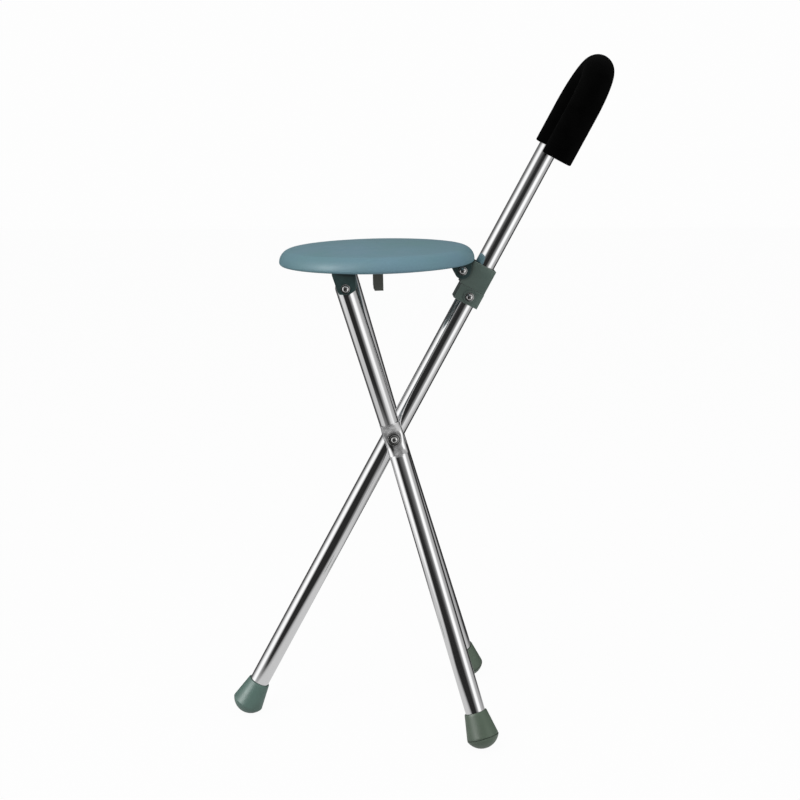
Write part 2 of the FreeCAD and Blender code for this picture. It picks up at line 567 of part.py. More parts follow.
def leg_parts():
    trim = leg_top_trim()
    outer = swept(LEGS, LEG_PATH, LEG_ARCS, "worked.tube_r", "worked.low_tilt")
    inner = swept(LEGS, LEG_PATH, LEG_ARCS, "worked.bore_r", "worked.low_tilt")
    half = "sizes.press_length / 2"
    reach = "sizes.tube_od * 2"
    outside = box(LEGS, (f"-{reach}", reach), ("worked.press_out", f"worked.press_out + {reach}"), (f"-{half}", half))
    inside = box(LEGS, (f"-{reach}", reach), (f"worked.press_in - {reach}", "worked.press_in"), (f"-{half}", half))
    side = "(sizes.press_wide - sizes.press_thick) / 2"
    core = box(LEGS, (f"-{side}", side), ("worked.press_in", "worked.press_out"), (f"-{half}", half))
    edges = [cylinder(LEGS, spot(x, "worked.leg_at_pivot", f"-{half}"), "sizes.press_thick / 2", "sizes.press_length")
             for x in (f"-{side}", side)]
    bolt = bolt_hole(LEGS, "sizes.pivot_bolt / 2 + sizes.run_gap", "3 * sizes.tube_od")
    pressed = fuse(cut(outer, inner, outside, inside), core, *edges)
    right = keep(cut(pressed, fuse(trim, bolt)), "leg_tube_right")
    keep(mirrored(right), "leg_tube_left")

    top = f"placement(vector(0; sizes.leg_hinge_out; sizes.leg_to_hinge); rotation(vector(1; 0; 0); -worked.high_tilt))"
    bar = cylinder(f"{LEGS} * {top}", spot(z="-sizes.leg_plug"), "worked.bore_r - sizes.push_gap",
                   "sizes.leg_plug + sizes.leg_top_round")
    plug = keep(cut(bar, trim), "leg_top_plug_right")
    keep(mirrored(plug), "leg_top_plug_left")

    foot_frame = f"{LEGS} * {spot('0', 'sizes.leg_foot_out', '-worked.leg_drop', '1; 0; 0', 'worked.low_tilt')}"
    right_foot = keep(foot(foot_frame), "leg_foot_right")
    keep(mirrored(right_foot), "leg_foot_left")
    washer = foot_washer(foot_frame)
    keep(group(washer, mirrored(washer)), "leg_foot_washers")


# The seat and what is screwed under it

CENTRE = f"{SEAT} * {spot('sizes.seat_hinge_ahead', '0', 'sizes.seat_over_hinge')}"


def boss_places():
    """The four base screws, on a ring round the seat's centre, in the seat's frame."""
    shift = "worked.seat_boss_ring * sqrt(0.5)"
    for along in (1, -1):
        for out in (1, -1):
            yield f"(sizes.seat_hinge_ahead + {along} * {shift})", f"({out} * {shift})"


def seat_form():
    """The seat's whole outer form, which the brackets under it are also trimmed to."""
    return revolved(
        CENTRE,
        [("0", "0"), ("sizes.seat_radius - sizes.seat_edge_in", "0"), ("worked.lip_r", "worked.lip_z"),
         ("sizes.seat_radius", "sizes.seat_edge_rise"),
         ("worked.shoulder_r", "worked.shoulder_z"), ("0", "worked.seat_top")],
        {2: ("sizes.seat_lip", 1), 3: ("sizes.seat_round", 1), 4: ("worked.crown_curve", 1)},
    )


def seat_parts(blank):
    opening = "sizes.seat_base_radius + sizes.push_gap"
    hollow = revolved(
        CENTRE,
        [("0", "0"), (opening, "0"), (opening, "sizes.seat_base_thick"),
         ("sizes.seat_radius - sizes.seat_wall", "sizes.seat_edge_rise"), ("worked.inner_r", "worked.inner_z"),
         ("0", "worked.seat_top - sizes.seat_wall")],
        {3: ("worked.inner_round", 1), 4: ("worked.crown_curve - sizes.seat_wall", 1)},
    )
    over = "sizes.seat_base_thick"
    far = "sizes.seat_radius"
    thin = "sizes.seat_rib / 2"
    ribs = [box(CENTRE, (f"-{far}", far), (f"-{thin}", thin), (over, "worked.seat_top")),
            box(CENTRE, (f"-{thin}", thin), (f"-{far}", far), (over, "worked.seat_top"))]
    low = "sizes.seat_over_hinge"
    flange_places = flange_screw_places()
    bosses = [cylinder(SEAT, spot(x, y, f"{low} + {over}"), "sizes.seat_boss", "worked.seat_top")
              for x, y in list(boss_places()) + flange_places]
    space = cut(hollow, *ribs, *bosses)
    ledge = f"{low} + sizes.small_head_height"
    holes = [small_hole(x, y, ledge, f"{ledge} + sizes.small_screw_length + sizes.hole_deeper")
             for x, y in boss_places()]
    holes += [small_hole(x, y, low, f"{low} + {over} + sizes.flange_bite + sizes.hole_deeper")
              for x, y in flange_places]
    keep(cut(blank, space, *holes), "seat_shell")

    disc = cylinder(CENTRE, spot(), "sizes.seat_base_radius", "sizes.seat_base_thick")
    sinks = [cylinder(SEAT, spot(x, y, low), "sizes.small_head / 2 + 2 * sizes.push_gap", "sizes.small_head_height")
             for x, y in boss_places()]
    through = [small_hole(x, y, low, f"{low} + {over}") for x, y in list(boss_places()) + flange_places]
    keep(cut(disc, *sinks, *through), "seat_base")
    keep(group(*[small_screw(x, y, ledge) for x, y in boss_places()]), "seat_base_screws")


def front_screw_places(side):
    """Two screws in a front bracket's flange, in the seat's frame; side is 1 or -1."""
    middle = f"({side} * (worked.cheek_in - sizes.cheek - sizes.flange_reach / 2))"
    return [("sizes.flange_screw_out", middle), ("-sizes.flange_screw_out", middle)]


def rear_screw_places():
    along = "(worked.rear_along - sizes.rear_flange_start - sizes.rear_flange_reach / 2)"
    return [(along, "(sizes.block_half / 2)"), (along, "(-sizes.block_half / 2)")]


def clip_screw_places():
    shift = "(sizes.clip_long / 4 + sizes.clip_flange / 4)"
    return [(f"(sizes.clip_ahead + {shift})", "0"), (f"(sizes.clip_ahead - {shift})", "0")]


def flange_screw_places():
    return front_screw_places(1) + front_screw_places(-1) + rear_screw_places() + clip_screw_places()


def flange_screw(x, y):
    return small_screw(x, y, "sizes.seat_over_hinge - sizes.flange", "worked.flange_screw_length")


def flange_holes(places):
    under = "sizes.seat_over_hinge - sizes.flange"
    return [small_hole(x, y, f"{under} - sizes.cut_past", "sizes.seat_over_hinge + sizes.cut_past")
            for x, y in places]


def front_bracket_parts(form):
    """A bracket over each leg top: two cheeks, a bridge behind the hinge and a flange with two screws."""
    under = "sizes.seat_over_hinge"
    above = "sizes.seat_over_hinge + sizes.seat_edge_rise"
    side = [
        ("-sizes.cheek_front", above), ("-sizes.cheek_front", under), ("-sizes.cheek_nose", "-sizes.cheek_drop / 2"),
        ("-sizes.cheek_drop", "-sizes.cheek_drop"), ("sizes.cheek_nose / 2", "-sizes.cheek_drop"),
        ("sizes.cheek_rear", "-sizes.cheek_drop / 4"), ("sizes.cheek_rear", above),
    ]
    outer = plate(SEAT, side, "worked.cheek_out", "sizes.cheek")
    inner = plate(SEAT, side, "worked.cheek_in - sizes.cheek", "sizes.cheek")
    thick = (f"{under} - sizes.flange", under)
    bridge = box(SEAT, ("0", "sizes.cheek_rear"), ("worked.cheek_in - sizes.cheek", "worked.cheek_out + sizes.cheek"),
                 thick)
    flange_out = "worked.cheek_in - sizes.cheek"
    flange = box(SEAT, ("-sizes.cheek_front", "sizes.cheek_rear"), (f"{flange_out} - sizes.flange_reach", flange_out),
                 thick)
    boss_end = "worked.flat_in - sizes.side_gap"
    boss = cylinder(SEAT, across(y="worked.cheek_in - sizes.cheek"), "sizes.bracket_boss",
                    f"{boss_end} - (worked.cheek_in - sizes.cheek)")
    hole = cylinder(SEAT, across(y="worked.cheek_in - sizes.tube_od"), "sizes.hinge_screw / 2 + sizes.push_gap",
                    "4 * sizes.tube_od")
    solid = fuse(outer, inner, bridge, flange, boss)
    right = keep(cut(solid, form, hole, *flange_holes(front_screw_places(1))), "front_bracket_right")
    keep(mirrored(right), "front_bracket_left")
    heads = [flange_screw(x, y) for s in (1, -1) for x, y in front_screw_places(s)]
    keep(group(*heads), "front_bracket_screws")

    outer_face = "worked.cheek_out + sizes.cheek"
    inner_face = "worked.cheek_in - sizes.cheek"
    length = f"({outer_face}) - ({inner_face}) + sizes.hinge_nut_height + sizes.thread_out"
    pin = screw(SEAT, "0", f"({outer_face})", "0", 1, "sizes.hinge_screw", length, "sizes.hinge_head",
                "sizes.hinge_head_height")
    keep(group(pin, mirrored(pin)), "leg_hinge_screws")
    lock = nut(SEAT, "0", f"{inner_face} - sizes.hinge_nut_height", "0", "sizes.hinge_nut", "sizes.hinge_nut_height",
               "sizes.hinge_screw / 2 + sizes.push_gap")
    keep(group(lock, mirrored(lock)), "leg_hinge_nuts")


def rear_bracket_parts(form):
    """Two lugs beside the slider's ear, joined by a flange ahead of it."""
    hinge = f"{SEAT} * {spot('worked.rear_along', '0', 'worked.rear_up')}"
    above = "worked.over_rear + sizes.seat_edge_rise"
    side = [
        ("-sizes.lug_front", above), ("-sizes.lug_front", "worked.over_rear"),
        ("-sizes.lug_round * cos(sizes.lug_wrap)", "-sizes.lug_round * sin(sizes.lug_wrap)"),
        ("sizes.lug_round * cos(sizes.lug_wrap / 2)", "-sizes.lug_round * sin(sizes.lug_wrap / 2)"),
        ("sizes.lug_rear", above),
    ]
    lugs = [plate(hinge, side, start, "sizes.cheek", {2: ("sizes.lug_round", 1)})
            for start in ("worked.lug_in", "-worked.lug_in - sizes.cheek")]
    wide = "worked.lug_in + sizes.cheek"
    flange = box(hinge, ("-sizes.rear_flange_start - sizes.rear_flange_reach", "-sizes.rear_flange_start"),
                 (f"-({wide})", wide), ("worked.over_rear - sizes.flange", "worked.over_rear"))
    hole = cylinder(hinge, across(y=f"-2 * ({wide})"), "sizes.hinge_screw / 2 + sizes.push_gap", f"4 * ({wide})")
    keep(cut(fuse(*lugs, flange), form, hole, *flange_holes(rear_screw_places())), "rear_bracket")
    keep(group(*[flange_screw(x, y) for x, y in rear_screw_places()]), "rear_bracket_screws")
    length = f"2 * ({wide}) + sizes.hinge_nut_height + sizes.thread_out"
    keep(screw(hinge, "0", f"-({wide})", "0", -1, "sizes.hinge_screw", length, "sizes.hinge_head",
               "sizes.hinge_head_height"), "rear_hinge_screw")
    keep(nut(hinge, "0", wide, "0", "sizes.hinge_nut", "sizes.hinge_nut_height",
             "sizes.hinge_screw / 2 + sizes.push_gap"), "rear_hinge_nut")


def clip_parts():
    """A fork under the seat whose arms stand either side of the folded stick."""
    top = "sizes.seat_over_hinge"
    front, rear = "sizes.clip_ahead - sizes.clip_long / 2", "sizes.clip_ahead + sizes.clip_long / 2"
    tip = f"{top} - sizes.clip_deep"
    side = [(front, top), (front, f"{tip} + sizes.clip_corner"), (f"{front} + sizes.clip_corner / 2", tip),
            (rear, tip), (rear, top)]
    inner = "worked.tube_r + sizes.clip_gap"
    arms = [plate(SEAT, side, start, "sizes.clip_arm") for start in (inner, f"-({inner}) - sizes.clip_arm")]
    half = f"{inner} + sizes.clip_arm"
    flange = box(SEAT, ("sizes.clip_ahead - sizes.clip_flange / 2", "sizes.clip_ahead + sizes.clip_flange / 2"),
                 (f"-({half})", half), (f"{top} - sizes.flange", top))
    keep(cut(fuse(*arms, flange), *flange_holes(clip_screw_places())), "stick_clip")
    keep(group(*[flange_screw(x, y) for x, y in clip_screw_places()]), "clip_screws")


# The slider

def slider_parts():
    """A block with a bore that is longer towards the seat, and an ear that carries the rear hinge screw."""
    low, high = "worked.slider_start", "worked.slider_start + sizes.slider_height"
    front = "worked.slider_front"
    block = plate(
        STICK,
        [("sizes.slider_back", low), ("sizes.slider_back", high), (f"-{front} + sizes.slider_corner", high),
         (f"-{front}", f"{high} - sizes.slider_corner_run"), (f"-{front}", low)],
        "-sizes.block_half", "2 * sizes.block_half",
    )
    along = "worked.ear_along"
    eye = cylinder(STICK, across("-sizes.ear_out", "-sizes.block_half", along), "sizes.ear_round",
                   "2 * sizes.block_half")
    neck = box(STICK, ("-sizes.ear_out", f"-{front} + sizes.slider_wall"), ("-sizes.block_half", "sizes.block_half"),
               (f"{along} - sizes.ear_round", f"{along} + sizes.ear_round"))
    bore_r = "worked.tube_r + sizes.slider_bore_gap"
    start, height = f"{low} - sizes.cut_past", "sizes.slider_height + 2 * sizes.cut_past"
    bore = cylinder(STICK, spot(z=start), bore_r, height)
    far_bore = cylinder(STICK, spot(x="-sizes.slider_slack", z=start), bore_r, height)
    between = box(STICK, ("-sizes.slider_slack", "0"), (f"-({bore_r})", bore_r), (start, f"{start} + {height}"))
    hole = cylinder(STICK, across("-sizes.ear_out", "-sizes.tube_od", along), "sizes.hinge_screw / 2 + sizes.run_gap",
                    "2 * sizes.tube_od")
    keep(cut(fuse(block, eye, neck), bore, far_bore, between, hole), "slider_sleeve")


def check():
    """Stop if any object of the document failed, or a part is empty, broken or not closed."""
    for thing in doc.Objects:
        if "Invalid" in thing.State or "Error" in thing.State:
            raise RuntimeError(f"{thing.Label} ({thing.Name}) failed")
    for thing in parts:
        shape = thing.Shape
        if shape.isNull() or not shape.isValid() or not shape.Solids:
            raise RuntimeError(f"{thing.Label} has no valid solid")
        volume = sum(solid.Volume for solid in shape.Solids)
        print(f"{thing.Label}: {len(shape.Solids)} solid(s), {volume / 1000:.2f} cm3")


def write_parts():
    os.makedirs("parts", exist_ok=True)
    for thing in parts:
        thing.Shape.exportStep(os.path.join("parts", thing.Label + ".step"))


stick_parts()
collar_parts()
pivot_parts()
leg_parts()
form = seat_form()
seat_parts(form)
front_bracket_parts(form)
rear_bracket_parts(form)
clip_parts()
slider_parts()
doc.recompute()
check()
write_parts()
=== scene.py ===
import json
import math

import bmesh
import bpy
import numpy as np
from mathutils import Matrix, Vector

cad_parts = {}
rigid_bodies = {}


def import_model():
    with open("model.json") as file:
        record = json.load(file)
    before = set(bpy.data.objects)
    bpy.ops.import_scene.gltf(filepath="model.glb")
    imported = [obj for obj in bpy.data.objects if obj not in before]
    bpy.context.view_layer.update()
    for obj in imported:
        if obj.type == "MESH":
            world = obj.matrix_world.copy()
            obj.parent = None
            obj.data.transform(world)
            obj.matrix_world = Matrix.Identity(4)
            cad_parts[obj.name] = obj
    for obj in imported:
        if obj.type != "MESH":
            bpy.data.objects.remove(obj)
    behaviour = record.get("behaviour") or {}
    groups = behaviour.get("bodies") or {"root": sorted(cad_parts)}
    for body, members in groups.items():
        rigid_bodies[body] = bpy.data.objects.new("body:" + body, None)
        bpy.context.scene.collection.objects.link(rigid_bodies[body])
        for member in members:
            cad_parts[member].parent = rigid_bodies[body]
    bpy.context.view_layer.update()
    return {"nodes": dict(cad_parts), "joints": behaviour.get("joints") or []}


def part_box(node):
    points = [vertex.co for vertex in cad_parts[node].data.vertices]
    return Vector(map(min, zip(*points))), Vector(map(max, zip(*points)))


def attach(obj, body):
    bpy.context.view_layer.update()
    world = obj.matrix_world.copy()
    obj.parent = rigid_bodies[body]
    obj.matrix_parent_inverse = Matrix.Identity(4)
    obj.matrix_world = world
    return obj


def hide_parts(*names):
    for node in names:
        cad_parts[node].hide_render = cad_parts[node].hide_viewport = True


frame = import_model()

# Lengths are in millimetres and angles in degrees. Meshes are turned into metres when they are made.
MM = 0.001

# The gap between a tube and what goes round it
FIT = 0.05

# How far the stick, the legs and the seat lean
STICK_LEAN = 28.0
LEG_LEAN = 16.6
SEAT_TILT = 1.2

# The tubes, as radii
TUBE = 11.0
BORE = 9.8
TUBE_SIDES = 320

# The handle: where it starts above the bolt, its bend, its free arm, and the grip round it
BEND_START = 404.0
BEND = 47.5
BEND_END = BEND_START + math.pi * BEND
ARM = 52.0
GRIP = 16.3
GRIP_SIDES = 112
GRIP_ON_STICK = 44.0
GRIP_ON_ARM = 54.0
GRIP_LIP = 1.6
GRIP_MOUTH = 0.9
GRIP_MOUTH_DEEP = 0.6

# The feet: a domed sole, a ring where they are widest, and a socket with a washer under the tube
SOLE = 19.5
SOLE_HEIGHT = 19.0
FOOT_WIDE = 18.0
FOOT_RIM = 12.5
FOOT_TALL = 29.0
FOOT_SIDES = 96
FOOT_RING = -math.sqrt(SOLE ** 2 - FOOT_WIDE ** 2)
SOCKET = 30.0
SOCKET_WASHER = 1.5
TUBE_START = FOOT_RING + FOOT_TALL - SOCKET + SOCKET_WASHER

# Points above a foot's ring, as depth and height: a soft corner, or a groove round the foot
SOFT_CORNER = [(0.08, -0.05), (0.15, 0.75)]
GROOVED_CORNER = [(0.08, -0.05), (0.3, 0.15), (1.1, 0.4), (1.1, 0.8), (0.32, 1.1)]

# The right leg's line: how far out it is at the bolt, the hinge and the sole, and its height and bend
LEG_OUT = 20.4
HINGE_OUT = 81.0
FOOT_OUT = 104.9
LEG_UP = 183.6
LEG_BEND = 60.0

# The top of a leg: a round crown, a flat on the outer side and a flat spot inside, round the hinge screw
LEG_TOP = 10.8
LEG_TOP_ZONE = 30.0
HINGE_FLAT = 9.0
HINGE_SPOT = 7.5

# Each leg beside the bolt: pressed flat along a line that is straight there and curves out above and below
PRESS_HALF = 19.5
PRESS_WIDE = 11.6
PRESS_THICK = 7.0
PRESS_STRAIGHT = 7.5
PRESS_CURVE = 0.017
PRESS_ENDS_ABOVE = (-0.9, 0.9)
PRESS_ENDS_BELOW = (-1.4, 0.6)

# The pressed section: its power (2 is an ellipse), and the heights where that and its width change
SQUARE_ABOVE = 3.2
SQUARE_BELOW = 2.3
SQUARE_FROM = (-9.0, -1.0)
WIDER_FROM = (-3.0, 3.0)
WIDER_UNTIL = (8.0, 17.0)

# The outer side of the pressed part: where it begins, how it rises towards its ends, and the dish in it
OUTER_FROM = (23.0, 27.0)
RISE_ABOVE = 4.4
RISE_FROM_ABOVE = (4.0, 21.0)
RISE_BELOW = 1.6
RISE_FROM_BELOW = (8.0, 21.0)
DISH = 13.0
DISH_UP = 2.0
DISH_DEEP = 1.1

# The seat dish, from its rim underneath to its crown
SEAT = 107.0
SEAT_AHEAD = 34.8
SEAT_UP = 14.5
SEAT_SIDES = 220
SEAT_WALL = 3.0
SEAT_OPENING = 92.05
SEAT_OPENING_TALL = 4.0
SEAT_CHAMFER = 0.25
SEAT_RIM_IN = 13.3
SEAT_LIP = 3.0
SEAT_EDGE = 13.8
SEAT_EDGE_UP = 4.5
SEAT_SLOPE = 6.5

# Screws, as radii of the shank and the head and the head's height, their cross recess, and the washers
SCREW = (2.0, 4.8, 2.6)
BOLT = (3.0, 5.0, 3.0)
SCREW_SIDES = 144
RECESS = 1.3
RECESS_ARM = 0.5
HINGE_SCREW_LONG = 35.0
COLLAR_SCREW_LONG = 33.0
COLLAR_SCREW_UP = 176.75
WASHER_BORE = 3.2
WASHER_WIDE = 7.0
WASHER_TALL = 1.0
WASHER_CORNER = 0.3
WASHER_SIDES = 96

# Where the joints are, how far the stick and the legs run down to their soles, and the legs' tilts
POINT = {joint["name"]: np.array(joint["pos_m"]) / MM for joint in frame["joints"]}
PIVOT_UP = POINT["leg_pivot"][2] - SOLE_HEIGHT
STICK_DROP = PIVOT_UP / math.cos(math.radians(STICK_LEAN))
LEG_DROP = PIVOT_UP / math.cos(math.radians(LEG_LEAN))
TILT_BELOW = math.atan((FOOT_OUT - LEG_OUT) / LEG_DROP)
TILT_ABOVE = math.atan((HINGE_OUT - LEG_OUT) / LEG_UP)


def turned_about_y(degrees):
    """The matrix that turns Z towards X by an angle."""
    c, s = math.cos(math.radians(degrees)), math.sin(math.radians(degrees))
    return np.array([[c, 0, s], [0, 1, 0], [-s, 0, c]])


def placer(origin, degrees):
    """A function that puts local points in the part's frame: turned about Y, then moved to the origin."""
    turn = turned_about_y(degrees)
    return lambda points: np.asarray(points) @ turn.T + origin


on_stick = placer(POINT["leg_pivot"], STICK_LEAN)
on_legs = placer(POINT["leg_pivot"], -LEG_LEAN)
on_seat = placer(POINT["seat_hinge"], -SEAT_TILT)
at_rear_hinge = placer(POINT["slider_hinge"], -SEAT_TILT)


# Surfaces

def around(count):
    """Angles evenly spaced round a circle, starting half a step from zero."""
    return (np.arange(count) + 0.5) * 2 * math.pi / count


def turned(profile, count):
    """A surface of revolution about Z: each (r, z) gives the points (r cos t, r sin t, z)."""
    r, z = np.asarray(profile, float).T
    t = around(count)
    return np.stack([np.outer(r, np.cos(t)), np.outer(r, np.sin(t)), np.outer(z, np.ones(count))], -1)


def carried(path, rows, count):
    """A round section carried along a path: at distance s and angle t, centre(s) + r (cos t X + sin t B).

    X is across the path's plane and B is the path's direction turned a quarter in that plane.
    """
    s, r = np.asarray(rows, float).T
    centre, along = path(s)
    t = around(count)
    side = np.stack([np.zeros_like(s), along[:, 2], -along[:, 1]], -1)
    ring = np.cos(t)[None, :, None] * np.array([1.0, 0, 0]) + np.sin(t)[None, :, None] * side[:, None, :]
    return centre[:, None, :] + r[:, None, None] * ring


def arc(centre, radius, start, stop, count):
    """Points (r, z) of an arc about a centre, between two angles in degrees."""
    a = np.radians(np.linspace(start, stop, count))
    return np.stack([centre[0] + radius * np.cos(a), centre[1] + radius * np.sin(a)], -1)


def eased(x, low, high):
    """0 below low, 1 above high, and 3x^2 - 2x^3 between."""
    x = np.clip((x - low) / (high - low), 0, 1)
    return x * x * (3 - 2 * x)


def shell(points, looped):
    """Vertices and faces of a grid whose columns close round, with its faces pointing outwards.

    Looped rows close round too. Other grids are closed by a fan of triangles at each end.
    """
    rows, columns = points.shape[:2]
    index = np.arange(rows * columns).reshape(rows, columns)
    after = np.roll(index, -1, axis=1)
    if looped:
        up, up_after = np.roll(index, -1, axis=0), np.roll(after, -1, axis=0)
        quads = np.stack([index, after, up_after, up], -1).reshape(-1, 4)
        vertices, triangles = points.reshape(-1, 3), np.zeros((0, 3), int)
    else:
        quads = np.stack([index[:-1], after[:-1], after[1:], index[1:]], -1).reshape(-1, 4)
        middles = points[[0, -1]].mean(axis=1)
        vertices = np.concatenate([points.reshape(-1, 3), middles])
        low, high = rows * columns, rows * columns + 1
        first = np.stack([after[0], index[0], np.full(columns, low)], -1)
        last = np.stack([index[-1], after[-1], np.full(columns, high)], -1)
        triangles = np.concatenate([first, last])
    corners = np.concatenate([quads[:, :3], quads[:, [0, 2, 3]], triangles])
    a, b, c = (vertices[corners[:, k]] for k in range(3))
    if np.einsum("ij,ij->i", a, np.cross(b, c)).sum() < 0:
        quads, triangles = quads[:, ::-1], triangles[:, ::-1]
    return vertices, quads, triangles


def stand_in(name, mesh, material, body, node_name):
    """An object that shows a mesh in one material, in place of a CAD piece."""
    mesh.shade_smooth()
    mesh.materials.clear()
    mesh.materials.append(material)
    obj = bpy.data.objects.new(name, mesh)
    bpy.context.scene.collection.objects.link(obj)
    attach(obj, body)
    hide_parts(node_name)
    return obj


def piece(name, shells, material, body, node_name, crease=38):
    """A piece made of closed grids in the part's frame, sharp where it turns by more than the crease."""
    vertices, faces, start = [], [], 0
    for points, looped in shells:
        places, quads, triangles = shell(points, looped)
        vertices.append(places)
        faces += (quads + start).tolist() + (triangles + start).tolist()
        start += len(places)
    mesh = bpy.data.meshes.new(name)
    mesh.from_pydata((np.concatenate(vertices) * MM).tolist(), [], faces)
    obj = stand_in(name, mesh, material, body, node_name)
    mesh.set_sharp_from_angle(angle=math.radians(crease))
    return obj


def mark(obj, name, values):
    """Stores a number at each point of a piece's grid for its material to read, and 0 at its end points."""
    full = np.zeros(len(obj.data.vertices), np.float32)
    full[:values.size] = values.ravel()
    obj.data.attributes.new(name, "FLOAT", "POINT").data.foreach_set("value", full)


# Shader nodes

def feed(tree, socket, value):
    """Links another socket to a socket, or sets it to a plain value."""
    if isinstance(value, bpy.types.NodeSocket):
        tree.links.new(value, socket)
    else:
        socket.default_value = value


def feed_all(tree, made, **inputs):
    """Links or sets a node's sockets by name, with _ for each space."""
    for key, value in inputs.items():
        feed(tree, made.inputs[key.replace("_", " ")], value)


def node(tree, kind, *values, **named):
    """A node with sockets fed in order or by name, and options set by names that start with _."""
    made = tree.nodes.new("ShaderNode" + kind)
    for key, value in named.items():
        if key.startswith("_"):
            setattr(made, key[1:], value)
    for socket, value in zip(made.inputs, values):
        feed(tree, socket, value)
    feed_all(tree, made, **{key: value for key, value in named.items() if not key.startswith("_")})
    return made


def placed(tree, group, **inputs):
    """The outputs of a shader group that is put into a tree with its own values."""
    return node(tree, "Group", _node_tree=group, **inputs).outputs


def worked(tree, operation, *values):
    """The result of a Math node."""
    return node(tree, "Math", *values, _operation=operation).outputs["Value"]


def vector_worked(tree, operation, first, second):
    """The result of a Vector Math node, as a vector."""
    return node(tree, "VectorMath", first, second, _operation=operation).outputs["Vector"]


def ranged(tree, value, low, high, start=0.0, stop=1.0, blend="LINEAR"):
    """A number taken from low..high to start..stop, and held at their ends."""
    made = node(tree, "MapRange", value, low, high, start, stop, _interpolation_type=blend)
    return made.outputs["Result"]


def mixed_colour(tree, share, first, second):
    """The first colour with a share of the second. Sockets 6 and 7 of a Mix node are its colours."""
    made = node(tree, "Mix", share, _data_type="RGBA")
    feed(tree, made.inputs[6], first)
    feed(tree, made.inputs[7], second)
    return made.outputs[2]


def mixed_shader(tree, share, first, second):
    """The first shader with a share of the second."""
    return node(tree, "MixShader", share, first, second).outputs["Shader"]


def glowing(tree, shade, strength):
    """A shader that gives light of a colour."""
    return node(tree, "Emission", Color=shade, Strength=strength).outputs["Emission"]


def noise(tree, vector, scale, detail):
    """Soft noise from 0 to 1, mostly near 0.5."""
    return node(tree, "TexNoise", Vector=vector, Scale=scale, Detail=detail).outputs["Fac"]


def bumped(tree, height, strength, distance):
    """The surface's normal, tilted as a height would tilt it."""
    return node(tree, "Bump", Height=height, Strength=strength, Distance=distance).outputs["Normal"]


def effect(name, inputs, outputs):
    """An empty shader group with named sockets: the group, what it is given and what it gives."""
    group = bpy.data.node_groups.new(name, "ShaderNodeTree")
    for label, kind, value in inputs:
        socket = group.interface.new_socket(label, in_out="INPUT", socket_type="NodeSocket" + kind)
        if value is not None:
            socket.default_value = value
    for label, kind in outputs:
        group.interface.new_socket(label, in_out="OUTPUT", socket_type="NodeSocket" + kind)
    given = group.nodes.new("NodeGroupInput").outputs
    return group, given, group.nodes.new("NodeGroupOutput").inputs


def grey(level):
    """A neutral colour."""
    return (level, level, level, 1.0)


# Shader groups

def make_mottle():
    """Two close shades drifting into each other over the surface, with a finer fleck on top."""
    group, given, gives = effect(
        "mottled_colour",
        [("Vector", "Vector", None), ("Shade A", "Color", grey(1)), ("Shade B", "Color", grey(1)),
         ("Patch Scale", "Float", 20.0), ("Fleck Scale", "Float", 900.0), ("Fleck", "Float", 0.1)],
        [("Color", "Color")],
    )
    patches = noise(group, given["Vector"], scale=given["Patch Scale"], detail=3.0)
    shades = mixed_colour(group, ranged(group, patches, 0.35, 0.65), given["Shade A"], given["Shade B"])
    spots = noise(group, given["Vector"], scale=given["Fleck Scale"], detail=2.0)
    fleck = ranged(group, spots, 0.3, 0.7, start=-1.0, stop=1.0)
    weight = worked(group, "MULTIPLY_ADD", fleck, given["Fleck"], 1.0)
    flecked = node(group, "VectorMath", shades, _operation="SCALE", Scale=weight)
    group.links.new(flecked.outputs["Vector"], gives["Color"])
    return group


def make_grain():
    """A moulded skin: shallow pits as a height, and how far the polish has worn as a roughness."""
    group, given, gives = effect(
        "moulded_grain",
        [("Vector", "Vector", None), ("Grain Scale", "Float", 900.0), ("Roughness", "Float", 0.5),
         ("Variation", "Float", 0.1)],
        [("Height", "Float"), ("Roughness", "Float")],
    )
    pits = noise(group, given["Vector"], scale=given["Grain Scale"], detail=2.0)
    worn = noise(group, given["Vector"], scale=45.0, detail=2.0)
    wear = ranged(group, worn, 0.3, 0.7, start=-1.0, stop=1.0)
    rough = worked(group, "MULTIPLY_ADD", wear, given["Variation"], given["Roughness"])
    group.links.new(pits, gives["Height"])
    group.links.new(rough, gives["Roughness"])
    return group


def make_polish():
    """Polished metal: hairlines drawn out along Z and a faint cloudiness, as a roughness and a height."""
    group, given, gives = effect(
        "polish_marks",
        [("Vector", "Vector", None), ("Roughness", "Float", 0.06), ("Marks", "Float", 0.05)],
        [("Roughness", "Float"), ("Height", "Float")],
    )
    drawn_out = vector_worked(group, "MULTIPLY", given["Vector"], (1.0, 1.0, 0.03))
    lines = noise(group, drawn_out, scale=1400.0, detail=2.0)
    cloud = noise(group, given["Vector"], scale=30.0, detail=3.0)
    both = worked(group, "MULTIPLY", lines, cloud)
    rough = worked(group, "MULTIPLY_ADD", both, given["Marks"], given["Roughness"])
    group.links.new(rough, gives["Roughness"])
    group.links.new(lines, gives["Height"])
    return group


def make_edges():
    """Masks for painted light: a painted highlight along a piece's edges, and painted shade in its corners.
    """
    group, given, gives = effect(
        "edges_and_corners",
        [("Radius", "Float", 0.0006), ("Reach", "Float", 0.004)],
        [("Painted Highlight", "Float"), ("Painted Shade", "Float")],
    )
    rounded = node(group, "Bevel", _samples=6, Radius=given["Radius"]).outputs["Normal"]
    flat = node(group, "NewGeometry").outputs["Normal"]
    along = node(group, "VectorMath", rounded, flat, _operation="DOT_PRODUCT").outputs["Value"]
    hidden = node(group, "AmbientOcclusion", _samples=8, Distance=given["Reach"]).outputs["AO"]
    # The edge mask places a painted highlight, and the ambient occlusion mask places painted shade in
    # corners.
    group.links.new(ranged(group, along, 0.995, 0.9), gives["Painted Highlight"])
    group.links.new(ranged(group, hidden, 0.85, 0.4), gives["Painted Shade"])
    return group


